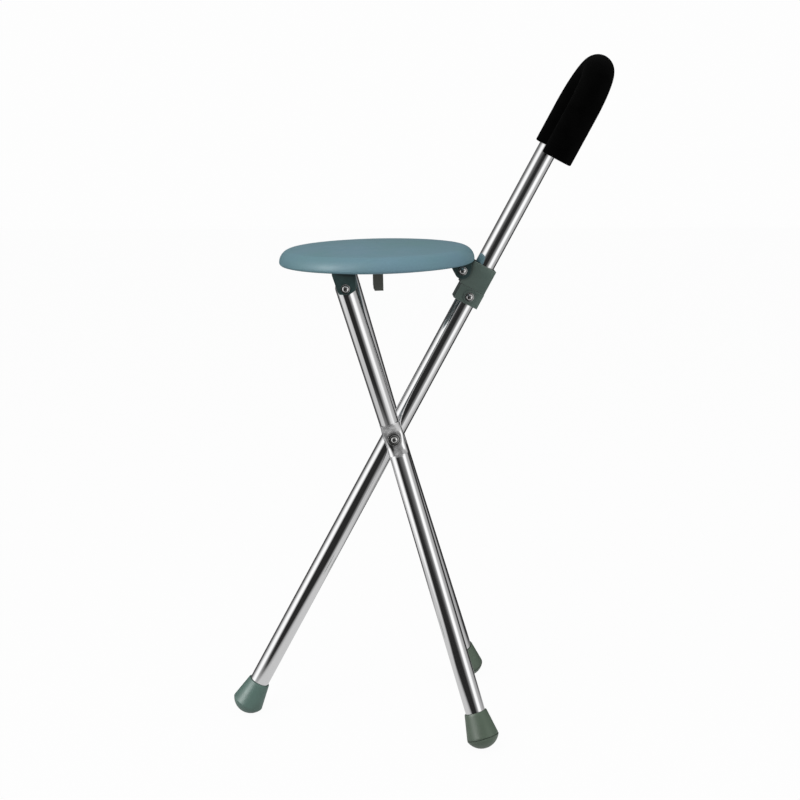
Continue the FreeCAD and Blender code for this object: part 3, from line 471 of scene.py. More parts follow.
def make_panels():
    """What stands round the object, by compass direction: dark in front, white to the left and front right.

    The compass angle of a vector is atan2(X, Y), from -180 to 180 degrees, with 0 behind the object.
    """
    group, given, gives = effect("studio_panels", [("Vector", "Vector", None)], [("Level", "Float")])
    split = node(group, "SeparateXYZ", Vector=given["Vector"]).outputs
    compass = worked(group, "ARCTAN2", split["X"], split["Y"])
    ramp = node(group, "ValToRGB", Fac=ranged(group, compass, -math.pi, math.pi))
    dark, white = 0.022, 1.08
    stops = [(-180, dark), (-138, dark), (-118, white), (-96, white), (-82, 0.75), (-62, 0.25), (-48, 0.06),
             (-20, 0.08), (0, 0.2), (10, 0.04), (58, 0.03), (70, 0.38), (100, 0.5), (116, white),
             (138, white), (148, 0.4), (160, 0.2), (174, dark), (180, dark)]
    elements = ramp.color_ramp.elements
    while len(elements) < len(stops):
        elements.new(0.5)
    for element, (degrees, level) in zip(elements, stops):
        element.position = (degrees + 180) / 360
        element.color = grey(level)
    group.links.new(ramp.outputs["Color"], gives["Level"])
    return group


MOTTLE = make_mottle()
GRAIN = make_grain()
POLISH = make_polish()
EDGES = make_edges()
PANELS = make_panels()


# Materials, whose lengths are in metres

def colour(r, g, b):
    """A linear colour from 0..255 screen values."""
    screen = np.array([r, g, b]) / 255.0
    linear = np.where(screen <= 0.04045, screen / 12.92, ((screen + 0.055) / 1.055) ** 2.4)
    return (*linear.tolist(), 1.0)


def dimmed(shade, share):
    """A colour with its red, green and blue scaled alike."""
    return tuple(v * share for v in shade[:3]) + (1.0,)


CHROME_SHADE = (0.93, 0.93, 0.935, 1.0)
ZINC_SHADE = (0.82, 0.82, 0.81, 1.0)
# The pale colour of the painted highlight along plastic edges.
PAINTED_EDGE_LIGHT = colour(190, 200, 196)


def start_material(name, turn=0.0):
    """A new material, its tree, its shader, and Object coordinates turned about Y onto the piece's axis."""
    material = bpy.data.materials.new(name)
    material.use_nodes = True
    tree = material.node_tree
    place = node(tree, "TexCoord").outputs["Object"]
    axis = node(tree, "Mapping", _vector_type="POINT", Vector=place, Rotation=(0, math.radians(turn), 0))
    return material, tree, tree.nodes["Principled BSDF"], axis.outputs["Vector"]


def plastic(name, shade, other, rough, grain=900.0, bump=0.00004, patch=20.0, specular=0.5, edge_highlight=0.35,
            corner_darkening=0.7, edge=0.0006):
    """Moulded plastic or rubber: mottled, grained, with painted edge highlights and painted corner shade."""
    material, tree, shader, vector = start_material(name)
    tone = placed(tree, MOTTLE, Vector=vector, Shade_A=shade, Shade_B=other, Patch_Scale=patch, Fleck=0.05)
    edges = placed(tree, EDGES, Radius=edge, Reach=0.005)
    # Painted highlight: the edges are mixed towards a pale colour.
    highlighted = worked(tree, "MULTIPLY", edges["Painted Highlight"], edge_highlight)
    pale = mixed_colour(tree, highlighted, tone["Color"], PAINTED_EDGE_LIGHT)
    # Painted shade: the corners are darkened towards a dark copy of the second shade.
    darkening = worked(tree, "MULTIPLY", edges["Painted Shade"], corner_darkening)
    darkened = mixed_colour(tree, darkening, pale, dimmed(other, 0.15))
    skin = placed(tree, GRAIN, Vector=vector, Grain_Scale=grain, Roughness=rough, Variation=0.06)
    feed_all(tree, shader, Base_Color=darkened, Roughness=skin["Roughness"], Specular_IOR_Level=specular,
             Normal=bumped(tree, skin["Height"], strength=0.6, distance=bump))
    return material


def add_satin(tree, shader, vector, shade, tone, roughness):
    """Dulls a metal where the mesh's number "pressed" is near 1: patchy, pitted, rougher, less metallic.

    Returns the metal's colour and roughness with the dulled part in them.
    """
    mask = node(tree, "Attribute", _attribute_name="pressed").outputs["Fac"]
    patches = ranged(tree, noise(tree, vector, scale=150.0, detail=3.0), 0.38, 0.62)
    dull = mixed_colour(tree, patches, dimmed(shade, 0.5), dimmed(shade, 0.95))
    pits = worked(tree, "MULTIPLY", noise(tree, vector, scale=700.0, detail=3.0), mask)
    feed_all(tree, shader, Metallic=ranged(tree, mask, 0.0, 1.0, start=1.0, stop=0.78),
             Normal=bumped(tree, pits, strength=0.5, distance=0.0002))
    return mixed_colour(tree, mask, tone, dull), worked(tree, "MULTIPLY_ADD", mask, 0.36, roughness)


def metal(name, shade, rough, marks, turn=0.0, bump=0.0, satin=False):
    """Plated metal: hairline marks along the piece, painted shade in its corners, satin on pressed parts."""
    material, tree, shader, vector = start_material(name, turn)
    tone = placed(tree, MOTTLE, Vector=vector, Shade_A=shade, Shade_B=dimmed(shade, 0.94), Patch_Scale=12.0,
                  Fleck=0.02)["Color"]
    finish = placed(tree, POLISH, Vector=vector, Roughness=rough, Marks=marks)
    roughness = finish["Roughness"]
    feed_all(tree, shader, Metallic=1.0)
    if satin:
        tone, roughness = add_satin(tree, shader, vector, shade, tone, roughness)
    if bump:
        feed_all(tree, shader, Normal=bumped(tree, finish["Height"], strength=0.4, distance=bump))
    # Painted shade: corners found by ambient occlusion are darkened towards a dark copy of the shade.
    corner = placed(tree, EDGES, Reach=0.0022)["Painted Shade"]
    darkened = mixed_colour(tree, worked(tree, "MULTIPLY", corner, 0.55), tone, dimmed(shade, 0.06))
    feed_all(tree, shader, Base_Color=darkened, Roughness=roughness)
    return material


def foam():
    """Closed-cell foam: small round cells with torn walls, almost black, with no shine."""
    material, tree, shader, vector = start_material("black_foam")
    tone = placed(tree, MOTTLE, Vector=vector, Shade_A=colour(1, 1, 1), Shade_B=colour(3, 3, 3),
                  Patch_Scale=60.0, Fleck=0.3)
    cells = node(tree, "TexVoronoi", Vector=vector, Scale=1100.0).outputs["Distance"]
    skin = placed(tree, GRAIN, Vector=vector, Grain_Scale=500.0, Roughness=0.82, Variation=0.08)
    feed_all(tree, shader, Base_Color=tone["Color"], Roughness=skin["Roughness"], Specular_IOR_Level=0.05,
             Normal=bumped(tree, cells, strength=0.7, distance=0.0003))
    return material


CHROME_STICK = metal("chromed_stick", CHROME_SHADE, rough=0.06, marks=0.1, turn=STICK_LEAN)
CHROME_LEGS = metal("chromed_legs", CHROME_SHADE, rough=0.06, marks=0.1, turn=-LEG_LEAN, satin=True)
STEEL = metal("zinc_plated_steel", ZINC_SHADE, rough=0.16, marks=0.2, bump=0.00002)
SEAT_PLASTIC = plastic("teal_seat_plastic", colour(115, 151, 168), colour(106, 149, 153), rough=0.5,
                       patch=7.0, edge_highlight=0.1, corner_darkening=0.3)
GREY_PLASTIC = plastic("grey_green_plastic", colour(110, 126, 118), colour(90, 108, 101), rough=0.42,
                       edge_highlight=0.22, corner_darkening=1.0, edge=0.001)
# The brackets' dark teal is partly their own colour and partly painted shade from the seat above them.
BRACKET_PLASTIC = plastic("dark_teal_plastic", colour(48, 72, 71), colour(42, 63, 62), rough=0.38,
                          edge_highlight=0.25, corner_darkening=0.9)
# The seat's base plate: the seat plastic darkened, as painted shade under the seat.
BASE_PLASTIC = plastic("shaded_seat_plastic", colour(58, 84, 88), colour(52, 78, 80), rough=0.5)
STICK_RUBBER = plastic("grey_teal_rubber", colour(98, 130, 121), colour(87, 114, 105), rough=0.48,
                       grain=500.0, bump=0.00002, edge_highlight=0.12, specular=0.7)
LEG_RUBBER = plastic("grey_green_rubber", colour(92, 111, 93), colour(79, 96, 79), rough=0.46,
                     grain=500.0, bump=0.00003, edge_highlight=0.12, specular=0.8)
DARK_PLASTIC = plastic("dark_plastic", colour(118, 121, 113), colour(100, 103, 97), rough=0.5)
BLACK_PLASTIC = plastic("black_plastic", colour(22, 22, 23), colour(28, 28, 29), rough=0.5)
FOAM = foam()


# The stick, its handle and the feet

def crook(s):
    """Centre and direction at distance s above the bolt: straight, half a turn towards -Y, back down."""
    a = np.clip((s - BEND_START) / BEND, 0, math.pi)
    beyond = np.maximum(s - BEND_END, 0)
    y = -BEND + BEND * np.cos(a)
    z = np.minimum(s, BEND_START) + BEND * np.sin(a) - beyond
    return np.stack([np.zeros_like(s), y, z], -1), np.stack([np.zeros_like(s), -np.sin(a), np.cos(a)], -1)


def make_stick():
    """The stick's tube, from inside its foot to the end of the handle."""
    straight = np.linspace(TUBE_START - STICK_DROP, BEND_START, 10)
    bend = np.linspace(BEND_START, BEND_END, 60)
    arm = np.linspace(BEND_END, BEND_END + ARM, 4)
    stations = np.concatenate([straight, bend[1:], arm[1:]])
    wall = [(s, TUBE) for s in stations] + [(s, BORE) for s in stations[::-1]]
    tube = on_stick(carried(crook, wall, TUBE_SIDES))
    piece("stick_tube_polished", [(tube, True)], CHROME_STICK, "stick", "stick_tube")


def make_grip():
    """The foam round the handle: a rounded lip at each end and a shallow chamfer into each mouth."""
    low, high = BEND_START - GRIP_ON_STICK, BEND_END + GRIP_ON_ARM
    skin = TUBE + FIT
    inside_from = 1.0
    rows = [(low + GRIP_MOUTH_DEEP, skin), (low, skin + GRIP_MOUTH)]
    rows += [(low + GRIP_LIP - z, r) for r, z in arc((GRIP - GRIP_LIP, 0), GRIP_LIP, 90, 0, 6)]
    rows += [(s, GRIP) for s in np.linspace(low + GRIP_LIP, high - GRIP_LIP, 110)[1:-1]]
    rows += [(high - GRIP_LIP + z, r) for r, z in arc((GRIP - GRIP_LIP, 0), GRIP_LIP, 0, 90, 6)]
    rows += [(high, skin + GRIP_MOUTH), (high - GRIP_MOUTH_DEEP, skin)]
    rows += [(s, skin) for s in np.linspace(high - inside_from, low + inside_from, 40)]
    grip = on_stick(carried(crook, rows, GRIP_SIDES))
    piece("foam_grip", [(grip, True)], FOAM, "stick", "handle_grip")


def foot_profile(corner):
    """Half section of a foot: domed sole, corner, straight taper, rounded rim, socket down to its floor."""
    rim = FOOT_RING + FOOT_TALL
    first, last = 1.5, math.degrees(math.asin(FOOT_WIDE / SOLE)) - 2
    slope = (FOOT_RIM - FOOT_WIDE) / FOOT_TALL
    low, soft, middle = 1.5, 0.3, 0.4
    sole = [(SOLE * math.sin(a), -SOLE * math.cos(a)) for a in np.radians(np.linspace(first, last, 40))]
    ring = [(FOOT_WIDE - depth, FOOT_RING + height) for depth, height in corner]
    side = [(FOOT_WIDE + slope * h, FOOT_RING + h) for h in np.linspace(low, FOOT_TALL - 3 * soft, 14)]
    lip = [(FOOT_RIM - 0.1, rim - soft), (FOOT_RIM - 2 * soft, rim), (TUBE + FIT + soft, rim)]
    socket = [(TUBE + FIT, rim - soft), (TUBE + FIT, rim - SOCKET), (middle, rim - SOCKET)]
    return sole + ring + side + lip + socket


def make_foot(name, origin, node_name, body, direction, rubber, corner):
    """A foot turned about a direction through the centre of its domed sole, cut flat at the floor."""
    along = np.asarray(direction) / np.linalg.norm(direction)
    side = np.cross(along, [1.0, 0, 0])
    side /= np.linalg.norm(side)
    basis = np.stack([np.cross(side, along), side, along])
    points = turned(foot_profile(corner), FOOT_SIDES) @ basis + origin
    points[..., 2] = np.maximum(points[..., 2], 0)
    piece(name, [(points, False)], rubber, body, node_name, crease=24)


# The legs

def pressed(z):
    """How far the tube is pressed flat at height z: 1 beside the bolt, 0 in the round tube."""
    return 1 - eased(z - PRESS_HALF, *PRESS_ENDS_ABOVE) - eased(-z - PRESS_HALF, *PRESS_ENDS_BELOW)


def leg_rings(z, width, thick, power):
    """Rings of the right leg at heights z, in the legs' frame.

    A ring is the superellipse |x / width|^power + |out / thick|^power = 1 about the leg's line. In the
    round tube that line is y = LEG_OUT + |z| tan(tilt), and in the pressed part it is
    y = middle + PRESS_CURVE max(|z| - PRESS_STRAIGHT, 0)^2. There, middle is where an arc of radius
    LEG_BEND that touches both runs of the tube would pass the bolt.
    """
    skew = (TILT_BELOW - TILT_ABOVE) / 2
    half = (TILT_BELOW + TILT_ABOVE) / 2
    centre_y = LEG_OUT + LEG_BEND / math.cos(half) * math.cos(skew)
    centre_z = LEG_BEND / math.cos(half) * math.sin(skew)
    middle = centre_y - math.sqrt(LEG_BEND ** 2 - centre_z ** 2)
    tilt = np.where(z > 0, TILT_ABOVE, -TILT_BELOW)
    press = pressed(z)
    angle = tilt * (1 - press)
    arched = middle + PRESS_CURVE * np.maximum(np.abs(z) - PRESS_STRAIGHT, 0) ** 2
    y = press * arched + (1 - press) * (LEG_OUT + np.abs(z) * np.tan(np.abs(tilt)))
    t = around(TUBE_SIDES)
    power = power[:, None]
    across = np.abs(np.cos(t) / width[:, None]) ** power
    through = np.abs(np.sin(t) / thick[:, None]) ** power
    reach = (across + through) ** (-1 / power)
    out = reach * np.sin(t)
    out_y = y[:, None] + out * np.cos(angle)[:, None]
    out_z = z[:, None] - out * np.sin(angle)[:, None]
    return np.stack([reach * np.cos(t), out_y, out_z], -1)


def leg_skin(z):
    """The outside of the right leg at heights z: round, and pressed flat beside the bolt.

    The flat is broad above the bolt and narrow below. On the outer side it has a dish round the bolt and
    rises towards both its ends, so that only a low step is left there.
    """
    press = pressed(z)
    square = SQUARE_BELOW + (SQUARE_ABOVE - SQUARE_BELOW) * eased(z, *SQUARE_FROM)
    wider = eased(z, *WIDER_FROM) * (1 - eased(z, *WIDER_UNTIL))
    width = TUBE + (PRESS_WIDE - TUBE) * press * wider
    thick = TUBE + (PRESS_THICK - TUBE) * press
    grid = leg_rings(z, width, thick, 2 + press * (square - 2))
    x, up = grid[..., 0], grid[..., 2]
    outer = eased(grid[..., 1], *OUTER_FROM) * press[:, None]
    grid[..., 1] += outer * RISE_ABOVE * eased(up, *RISE_FROM_ABOVE)
    grid[..., 1] += outer * RISE_BELOW * eased(-up, *RISE_FROM_BELOW)
    dish = np.maximum(1 - (x ** 2 + (up - DISH_UP) ** 2) / DISH ** 2, 0) ** 2
    grid[..., 1] -= outer * DISH_DEEP * dish
    return grid


def satin_share(grid):
    """How far the chrome is dulled: the left and the middle above the bolt, and an outer strip below it."""
    x, z = grid[..., 0], grid[..., 2]
    right_edge, lean = (5.0, 8.5), 0.12
    strip_centre, strip_edge = 0.5, (3.2, 5.2)
    above = eased(z, -6.0, 0.0) * (1 - eased(x + lean * z, *right_edge))
    strip = 1 - eased(np.abs(x - strip_centre), *strip_edge)
    ends = eased(PRESS_HALF - np.abs(z), -0.4, 0.6)
    return ends * np.maximum(above, strip * (grid[..., 1] > LEG_OUT))


def leg_bore(z):
    """The round inside of the right leg at heights z."""
    same = np.full_like(z, BORE)
    return leg_rings(z, same, same, np.full_like(z, 2.0))


def shaped_top(grid):
    """A leg's grid with its top cut to the hinge: a round crown, a flat outside and a flat spot inside."""
    x, y, z = grid[..., 0], grid[..., 1], grid[..., 2]
    near = z > LEG_UP - LEG_TOP_ZONE
    y = np.where(near, np.minimum(y, HINGE_OUT + HINGE_FLAT), y)
    spot = near & (x ** 2 + (z - LEG_UP) ** 2 < HINGE_SPOT ** 2) & (y < HINGE_OUT)
    y = np.where(spot, np.maximum(y, HINGE_OUT - HINGE_FLAT), y)
    crown = LEG_UP + np.sqrt(np.maximum(LEG_TOP ** 2 - x ** 2, 0))
    over = np.where(near, np.maximum(z - crown, 0), 0)
    return np.stack([x, y - over * math.tan(TILT_ABOVE), z - over], -1)


def make_legs():
    """Both leg tubes and their feet. The left ones are the right ones mirrored.

    A tube is hollow below and above its pressed part. Its rings are close together there and at the hinge.
    """
    fine, hinge_zone = 25, LEG_UP - 14
    beyond, spare = 3.0, 2.0
    bottom = TUBE_START * math.cos(TILT_BELOW) - LEG_DROP
    top = LEG_UP + LEG_TOP + TUBE * math.tan(TILT_ABOVE) + spare
    lower_run = np.linspace(bottom, -fine - 1, 8)
    middle = np.linspace(-fine, fine, 151)
    upper_run = np.linspace(fine + 1, hinge_zone, 8)
    hinge = np.linspace(hinge_zone + 1, top, 40)
    skin = leg_skin(np.concatenate([lower_run, middle, upper_run, hinge]))
    lower = leg_bore(np.array([-PRESS_HALF - beyond, bottom]))
    upper = leg_bore(np.concatenate([hinge[::-1], [hinge_zone, PRESS_HALF + beyond]]))
    right = shaped_top(np.concatenate([lower, skin, upper]))
    satin = np.concatenate([np.zeros(lower.shape[:2]), satin_share(skin), np.zeros(upper.shape[:2])])
    for side, name in ((1, "right"), (-1, "left")):
        points = on_legs(right * np.array([1, side, 1]))
        tube = piece(f"leg_tube_{name}_polished", [(points, False)], CHROME_LEGS, "legs",
                     f"leg_tube_{name}", crease=40)
        mark(tube, "pressed", satin)
        sole = on_legs(np.array([0, side * FOOT_OUT, -LEG_DROP]))
        up = on_legs(np.array([0, side * LEG_OUT, 0])) - sole
        make_foot(f"leg_foot_{name}_moulded", sole, f"leg_foot_{name}", "legs", up, LEG_RUBBER,
                  GROOVED_CORNER)


# The seat

def seat_profile():
    """Half section of the dish: its opening, a flat rim, a slant, a small lip, a rounded edge and a crown.

    The slant touches the lip's arc, the edge's arc runs smoothly into the crown's, and the inside follows.
    """
    slope = math.radians(SEAT_SLOPE)
    span = math.hypot(SEAT_RIM_IN - SEAT_LIP, SEAT_EDGE_UP)
    pitch = math.atan2(SEAT_EDGE_UP, SEAT_RIM_IN - SEAT_LIP) - math.asin(SEAT_LIP / span)
    run = math.sqrt(span ** 2 - SEAT_LIP ** 2) * np.linspace(0, 1, 8)
    opening = [(SEAT_OPENING, SEAT_OPENING_TALL), (SEAT_OPENING, SEAT_CHAMFER),
               (SEAT_OPENING + SEAT_CHAMFER, 0)]
    slant = np.stack([SEAT - SEAT_RIM_IN + run * math.cos(pitch), run * math.sin(pitch)], -1)
    lip = arc((SEAT - SEAT_LIP, SEAT_EDGE_UP), SEAT_LIP, math.degrees(pitch) - 90, 0, 14)[1:]
    edge = arc((SEAT - SEAT_EDGE, SEAT_EDGE_UP), SEAT_EDGE, 0, 90 - SEAT_SLOPE, 40)[1:]
    crown = (SEAT - SEAT_EDGE + SEAT_EDGE * math.sin(slope)) / math.sin(slope)
    a = np.linspace(slope, slope * 0.01, 48)[1:]
    top = np.stack([crown * np.sin(a), edge[-1, 1] + crown * (np.cos(a) - math.cos(slope))], -1)
    inside = top[::-1] - np.array([0, SEAT_WALL])
    inner_edge = arc((SEAT - SEAT_EDGE, SEAT_EDGE_UP), SEAT_EDGE - SEAT_WALL, 90 - SEAT_SLOPE, 0, 16)
    return np.concatenate([opening, slant, lip, edge, top, inside, inner_edge])


def make_seat():
    """The seat: a round dish turned upside down."""
    dish = on_seat(turned(seat_profile(), SEAT_SIDES) + np.array([SEAT_AHEAD, 0, SEAT_UP]))
    piece("seat_dish", [(dish, True)], SEAT_PLASTIC, "seat", "seat_shell", crease=50)


# Screws and washers

def screw_grid(shank, head, tall, length):
    """A screw about Z, its seat at z = 0 and its head above: a flat flange with a dome in the middle.

    The dome is the ellipse z = flange + (tall - flange) sqrt(1 - (r / dome)^2), and a cross is sunk into it
    where |x| or |y| is small.
    """
    flange, dome = tall * 0.4, head * 0.7
    middle, tip, under, over, corner = 0.3, 0.5, 0.2, 0.25, 0.08
    stem = [(middle, -length), (shank - tip, -length), (shank, tip - length), (shank, 0), (head - under, 0)]
    side = [(head, under), (head, flange - over), (head - corner, flange - corner), (head - over, flange),
            (dome + under, flange)]
    a = np.radians(np.concatenate([np.linspace(90, 40, 14), np.linspace(39, 1, 40)]))
    domed = list(zip(dome * np.sin(a), flange + (tall - flange) * np.cos(a)))
    points = turned(stem + side + domed, SCREW_SIDES)
    top = points[-len(domed):]
    x, y = top[..., 0], top[..., 1]
    arms = 1 - eased(np.minimum(np.abs(x), np.abs(y)) - RECESS_ARM, -0.12, 0.12)
    reach = 1 - eased(np.hypot(x, y) - dome * 0.66, -0.3, 0.1)
    top[..., 2] -= RECESS * arms * reach
    return points


def washer_grid():
    """A flat ring about Z with rounded outer corners, its underside at z = 0."""
    corner = WASHER_WIDE - WASHER_CORNER
    low = arc((corner, WASHER_CORNER), WASHER_CORNER, -90, 0, 5)
    high = arc((corner, WASHER_TALL - WASHER_CORNER), WASHER_CORNER, 0, 90, 5)
    profile = np.concatenate([[(WASHER_BORE, 0)], low, high, [(WASHER_BORE, WASHER_TALL)]])
    return turned(profile, WASHER_SIDES)


def towards(points, side, out, up, place, turn):
    """A grid about Z, turned by an angle and then laid outwards along Y, on a side that is 1 or -1.

    The grid's z = 0 comes to a distance out from the middle, and its axis to a height up.
    """
    c, s = math.cos(math.radians(turn)), math.sin(math.radians(turn))
    x, y, z = points[..., 0], points[..., 1], points[..., 2]
    return place(np.stack([x * c - y * s, side * (z + out), up - side * (x * s + y * c)], -1))


def ends(node_name):
    """Where a CAD piece ends along -Y and along Y."""
    low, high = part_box(node_name)
    return low[1] / MM, high[1] / MM


def cross_screw(node_name, body, size, place, turn, up=0.0, length=None):
    """A screw across the part, its head on the left, as long as its CAD piece if no length is given."""
    shank, head, tall = size
    left, right = ends(node_name)
    screw = screw_grid(shank, head, tall, length or right - left - tall)
    grid = towards(screw, -1, -left - tall, up, place, turn)
    piece(f"{node_name}_plated", [(grid, False)], STEEL, body, node_name)


def make_screws():
    """The screws that show their heads, and the pivot bolt's washers."""
    screw = screw_grid(*SCREW, HINGE_SCREW_LONG)
    out = ends("leg_hinge_screws")[1] - SCREW[2]
    grids = [(towards(screw, side, out, up=0, place=on_seat, turn=25.0), False) for side in (1, -1)]
    piece("leg_hinge_screws_plated", grids, STEEL, "seat", "leg_hinge_screws")
    cross_screw("collar_screw", "stick", SCREW, on_stick, turn=60.0, up=COLLAR_SCREW_UP,
                length=COLLAR_SCREW_LONG)
    cross_screw("pivot_bolt", "stick", BOLT, on_stick, turn=10.0)
    washer = washer_grid()
    out = ends("pivot_washers")[1] - WASHER_TALL
    grids = [(towards(washer, side, out, up=0, place=on_stick, turn=25.0), True) for side in (1, -1)]
    piece("pivot_washers_plated", grids, STEEL, "stick", "pivot_washers")
    cross_screw("rear_hinge_screw", "seat", SCREW, at_rear_hinge, turn=40.0)


# CAD pieces whose shape stays

def softened(name, node_name, material, body, width):
    """A copy of a CAD piece, merged into one surface, with every sharp edge rounded by a small bevel."""
    mesh = frame["nodes"][node_name].data.copy()
    mesh.name = name
    work = bmesh.new()
    work.from_mesh(mesh)
    bmesh.ops.remove_doubles(work, verts=work.verts, dist=0.000002)
    bmesh.ops.dissolve_limit(work, angle_limit=math.radians(0.5), verts=work.verts, edges=work.edges)
    work.to_mesh(mesh)
    work.free()
    obj = stand_in(name, mesh, material, body, node_name)
    bevel = obj.modifiers.new("soft_edges", "BEVEL")
    bevel.width = width * MM
    bevel.segments = 3
    bevel.limit_method = "ANGLE"
    bevel.angle_limit = math.radians(40)
    bevel.harden_normals = True


def make_mouldings():
    """The moulded blocks, brackets and clip with their edges softened."""
    softened("collar_block", "stop_collar", GREY_PLASTIC, "stick", width=0.8)
    softened("slider_block", "slider_sleeve", GREY_PLASTIC, "slider", width=0.6)
    for name in ("front_bracket_left", "front_bracket_right", "rear_bracket"):
        softened(f"{name}_moulded", name, BRACKET_PLASTIC, "seat", width=0.3)
    softened("clip_fork", "stick_clip", DARK_PLASTIC, "seat", width=0.3)


def make_small_metal():
    """The nuts, and the screws under the seat, with their edges softened."""
    for name in ("collar_nut", "pivot_nut"):
        softened(f"{name}_plated", name, STEEL, "stick", width=0.2)
    for name in ("leg_hinge_nuts", "rear_hinge_nut", "seat_base_screws", "front_bracket_screws",
                 "rear_bracket_screws", "clip_screws"):
        softened(f"{name}_plated", name, STEEL, "seat", width=0.2)


def dress(node_names, material):
    """Gives a material to CAD pieces that are shown as they are."""
    for name in node_names:
        mesh = frame["nodes"][name].data
        mesh.materials.clear()
        mesh.materials.append(material)


make_stick()
make_grip()
stick_sole = np.array([0, 0, SOLE_HEIGHT])
stick_up = POINT["leg_pivot"] - stick_sole
make_foot("stick_foot_moulded", stick_sole, "stick_foot", "stick", stick_up, STICK_RUBBER, SOFT_CORNER)
make_legs()
make_seat()
make_screws()
make_mouldings()
dress(["seat_base"], BASE_PLASTIC)
dress(["pivot_spacers"], GREY_PLASTIC)
dress(["handle_end_plug", "leg_top_plug_left", "leg_top_plug_right"], BLACK_PLASTIC)
dress(["stick_foot_washer", "leg_foot_washers"], STEEL)
make_small_metal()


# Floor, world, lamps and camera, whose lengths are in metres

# The floor's size and middle, and how bright it, the backdrop, the ceiling and the plain light are
BACKDROP = 0.985
FLOOR_HALF = 6.0
FLOOR_UP = -0.0003
FLOOR_GREY = grey(0.6)
FLOOR_GLOW = 1.02
FLOOR_GLOW_SHARE = 0.94
FLOOR_MIDDLE = (0.17, 0.0, 0.0)
CEILING = grey(0.42)
SOFT_LIGHT = grey(0.5)

# The photograph's view: the camera, and where it stands and looks when the bolt is at X = 0
SENSOR = 36.0
LENS = 68.38
VIEW_FROM = (-0.047586, -1.663290, 0.716062)
VIEW_TO = (0.0073, 0.0, 0.3690)
VIEW_UP = 0.0002


def make_floor():
    """A white floor with a faint shadow, clear from below. Metal sees it pale nearby, and panels far off."""
    h, z = FLOOR_HALF, FLOOR_UP
    mesh = bpy.data.meshes.new("floor")
    mesh.from_pydata([(-h, -h, z), (h, -h, z), (h, h, z), (-h, h, z)], [], [(0, 1, 2, 3)])
    floor = bpy.data.objects.new("floor", mesh)
    bpy.context.scene.collection.objects.link(floor)
    material = bpy.data.materials.new("white_floor")
    material.use_nodes = True
    tree = material.node_tree
    tree.nodes.remove(tree.nodes["Principled BSDF"])
    ray = node(tree, "LightPath").outputs
    matte = node(tree, "BsdfDiffuse", Color=FLOOR_GREY).outputs["BSDF"]
    glow_share = worked(tree, "MULTIPLY", ray["Is Camera Ray"], FLOOR_GLOW_SHARE)
    shown = mixed_shader(tree, glow_share, matte, glowing(tree, grey(1.0), FLOOR_GLOW))

    place = node(tree, "TexCoord").outputs["Object"]
    centred = vector_worked(tree, "SUBTRACT", place, FLOOR_MIDDLE)
    away = node(tree, "VectorMath", centred, _operation="LENGTH").outputs["Value"]
    level = placed(tree, PANELS, Vector=centred)["Level"]
    capped = worked(tree, "MINIMUM", level, ranged(tree, away, 0.45, 0.9, start=0.6, stop=1.1))
    far = ranged(tree, away, 0.12, 0.38, blend="SMOOTHSTEP")
    mirrored = glowing(tree, mixed_colour(tree, far, FLOOR_GREY, capped), 1.0)

    above = mixed_shader(tree, ray["Is Glossy Ray"], shown, mirrored)
    below = node(tree, "NewGeometry").outputs["Backfacing"]
    clear = node(tree, "BsdfTransparent").outputs["BSDF"]
    feed_all(tree, tree.nodes["Material Output"], Surface=mixed_shader(tree, below, above, clear))
    mesh.materials.append(material)


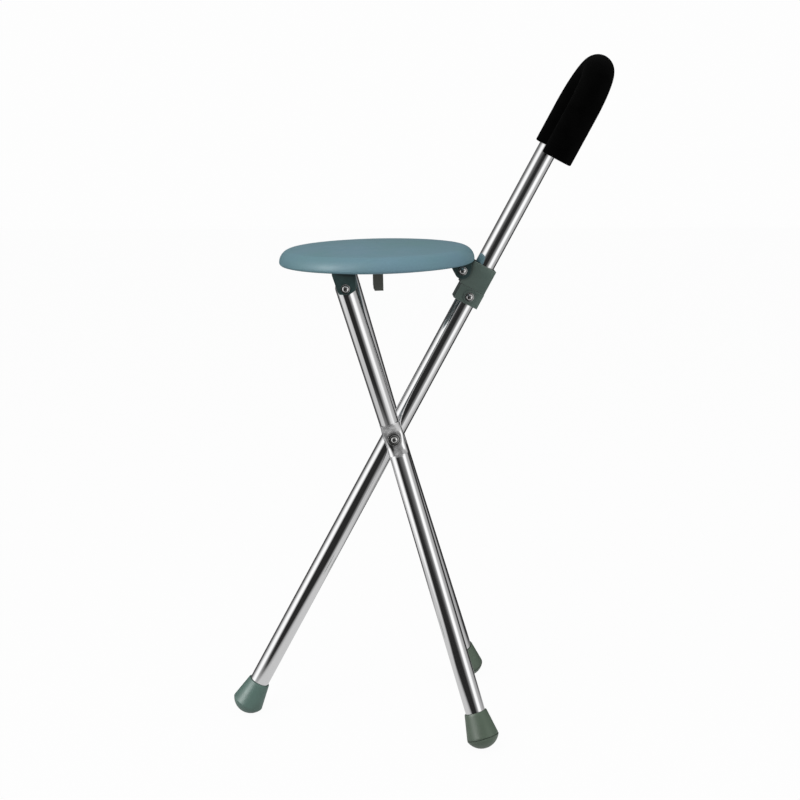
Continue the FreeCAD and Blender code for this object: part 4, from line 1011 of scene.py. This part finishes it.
def make_world():
    """White to the camera, soft grey light on the object. Metal sees the panels under a pale ceiling."""
    world = bpy.data.worlds.new("studio")
    bpy.context.scene.world = world
    world.use_nodes = True
    tree = world.node_tree
    ray = node(tree, "LightPath").outputs
    direction = node(tree, "TexCoord").outputs["Generated"]
    up = node(tree, "SeparateXYZ", Vector=direction).outputs["Z"]
    level = placed(tree, PANELS, Vector=direction)["Level"]
    lifted = worked(tree, "MAXIMUM", level, ranged(tree, up, 0.12, 0.45, start=0.0, stop=0.25))
    shiny = mixed_colour(tree, ranged(tree, up, 0.5, 0.62, blend="SMOOTHSTEP"), lifted, CEILING)
    lit = mixed_colour(tree, ray["Is Glossy Ray"], SOFT_LIGHT, shiny)
    seen = mixed_colour(tree, ray["Is Camera Ray"], lit, grey(BACKDROP))
    feed_all(tree, tree.nodes["Background"], Color=seen)


def aimed(obj, place, target):
    """Puts a lamp or a camera in the scene so that it looks at a point."""
    obj.location = place
    obj.rotation_euler = (Vector(target) - Vector(place)).to_track_quat("-Z", "Y").to_euler()
    bpy.context.scene.collection.objects.link(obj)


def lamp(name, place, target, size, watts, receivers=None):
    """A square soft lamp that looks at a point: light with no shine, or shine alone on its receivers."""
    light = bpy.data.lights.new(name, "AREA")
    light.size = size
    light.energy = watts
    obj = bpy.data.objects.new(name, light)
    obj.visible_glossy = receivers is not None
    obj.visible_diffuse = receivers is None
    if receivers:
        obj.light_linking.receiver_collection = receivers
    aimed(obj, place, target)


def matte_pieces():
    """A collection of the rubber and plastic pieces that the shine lamp lights."""
    group = bpy.data.collections.new("matte_pieces")
    matte = (SEAT_PLASTIC, GREY_PLASTIC, BRACKET_PLASTIC, STICK_RUBBER, LEG_RUBBER)
    for obj in bpy.context.scene.objects:
        if obj.type == "MESH" and obj.active_material in matte:
            group.objects.link(obj)
    return group


def make_camera():
    """The photograph's view: from in front, a little to the left and above, about 1.7 m away."""
    shift = Vector((POINT["leg_pivot"][0] * MM, 0, VIEW_UP))
    data = bpy.data.cameras.new("camera")
    data.sensor_width = SENSOR
    data.lens = LENS
    camera = bpy.data.objects.new("camera", data)
    aimed(camera, Vector(VIEW_FROM) + shift, Vector(VIEW_TO) + shift)
    bpy.context.scene.camera = camera


make_floor()
make_world()
lamp("key", place=(-1.0, -1.3, 2.3), target=(0.15, 0, 0.4), size=1.8, watts=23.0)
lamp("fill", place=(1.8, -1.2, 1.4), target=(0.15, 0, 0.4), size=1.6, watts=7.0)
lamp("sheen", place=(-2.0, -1.4, 1.2), target=(0.1, 0, 0.2), size=1.5, watts=55.0, receivers=matte_pieces())
make_camera()
bpy.context.scene.view_settings.view_transform = "Standard"
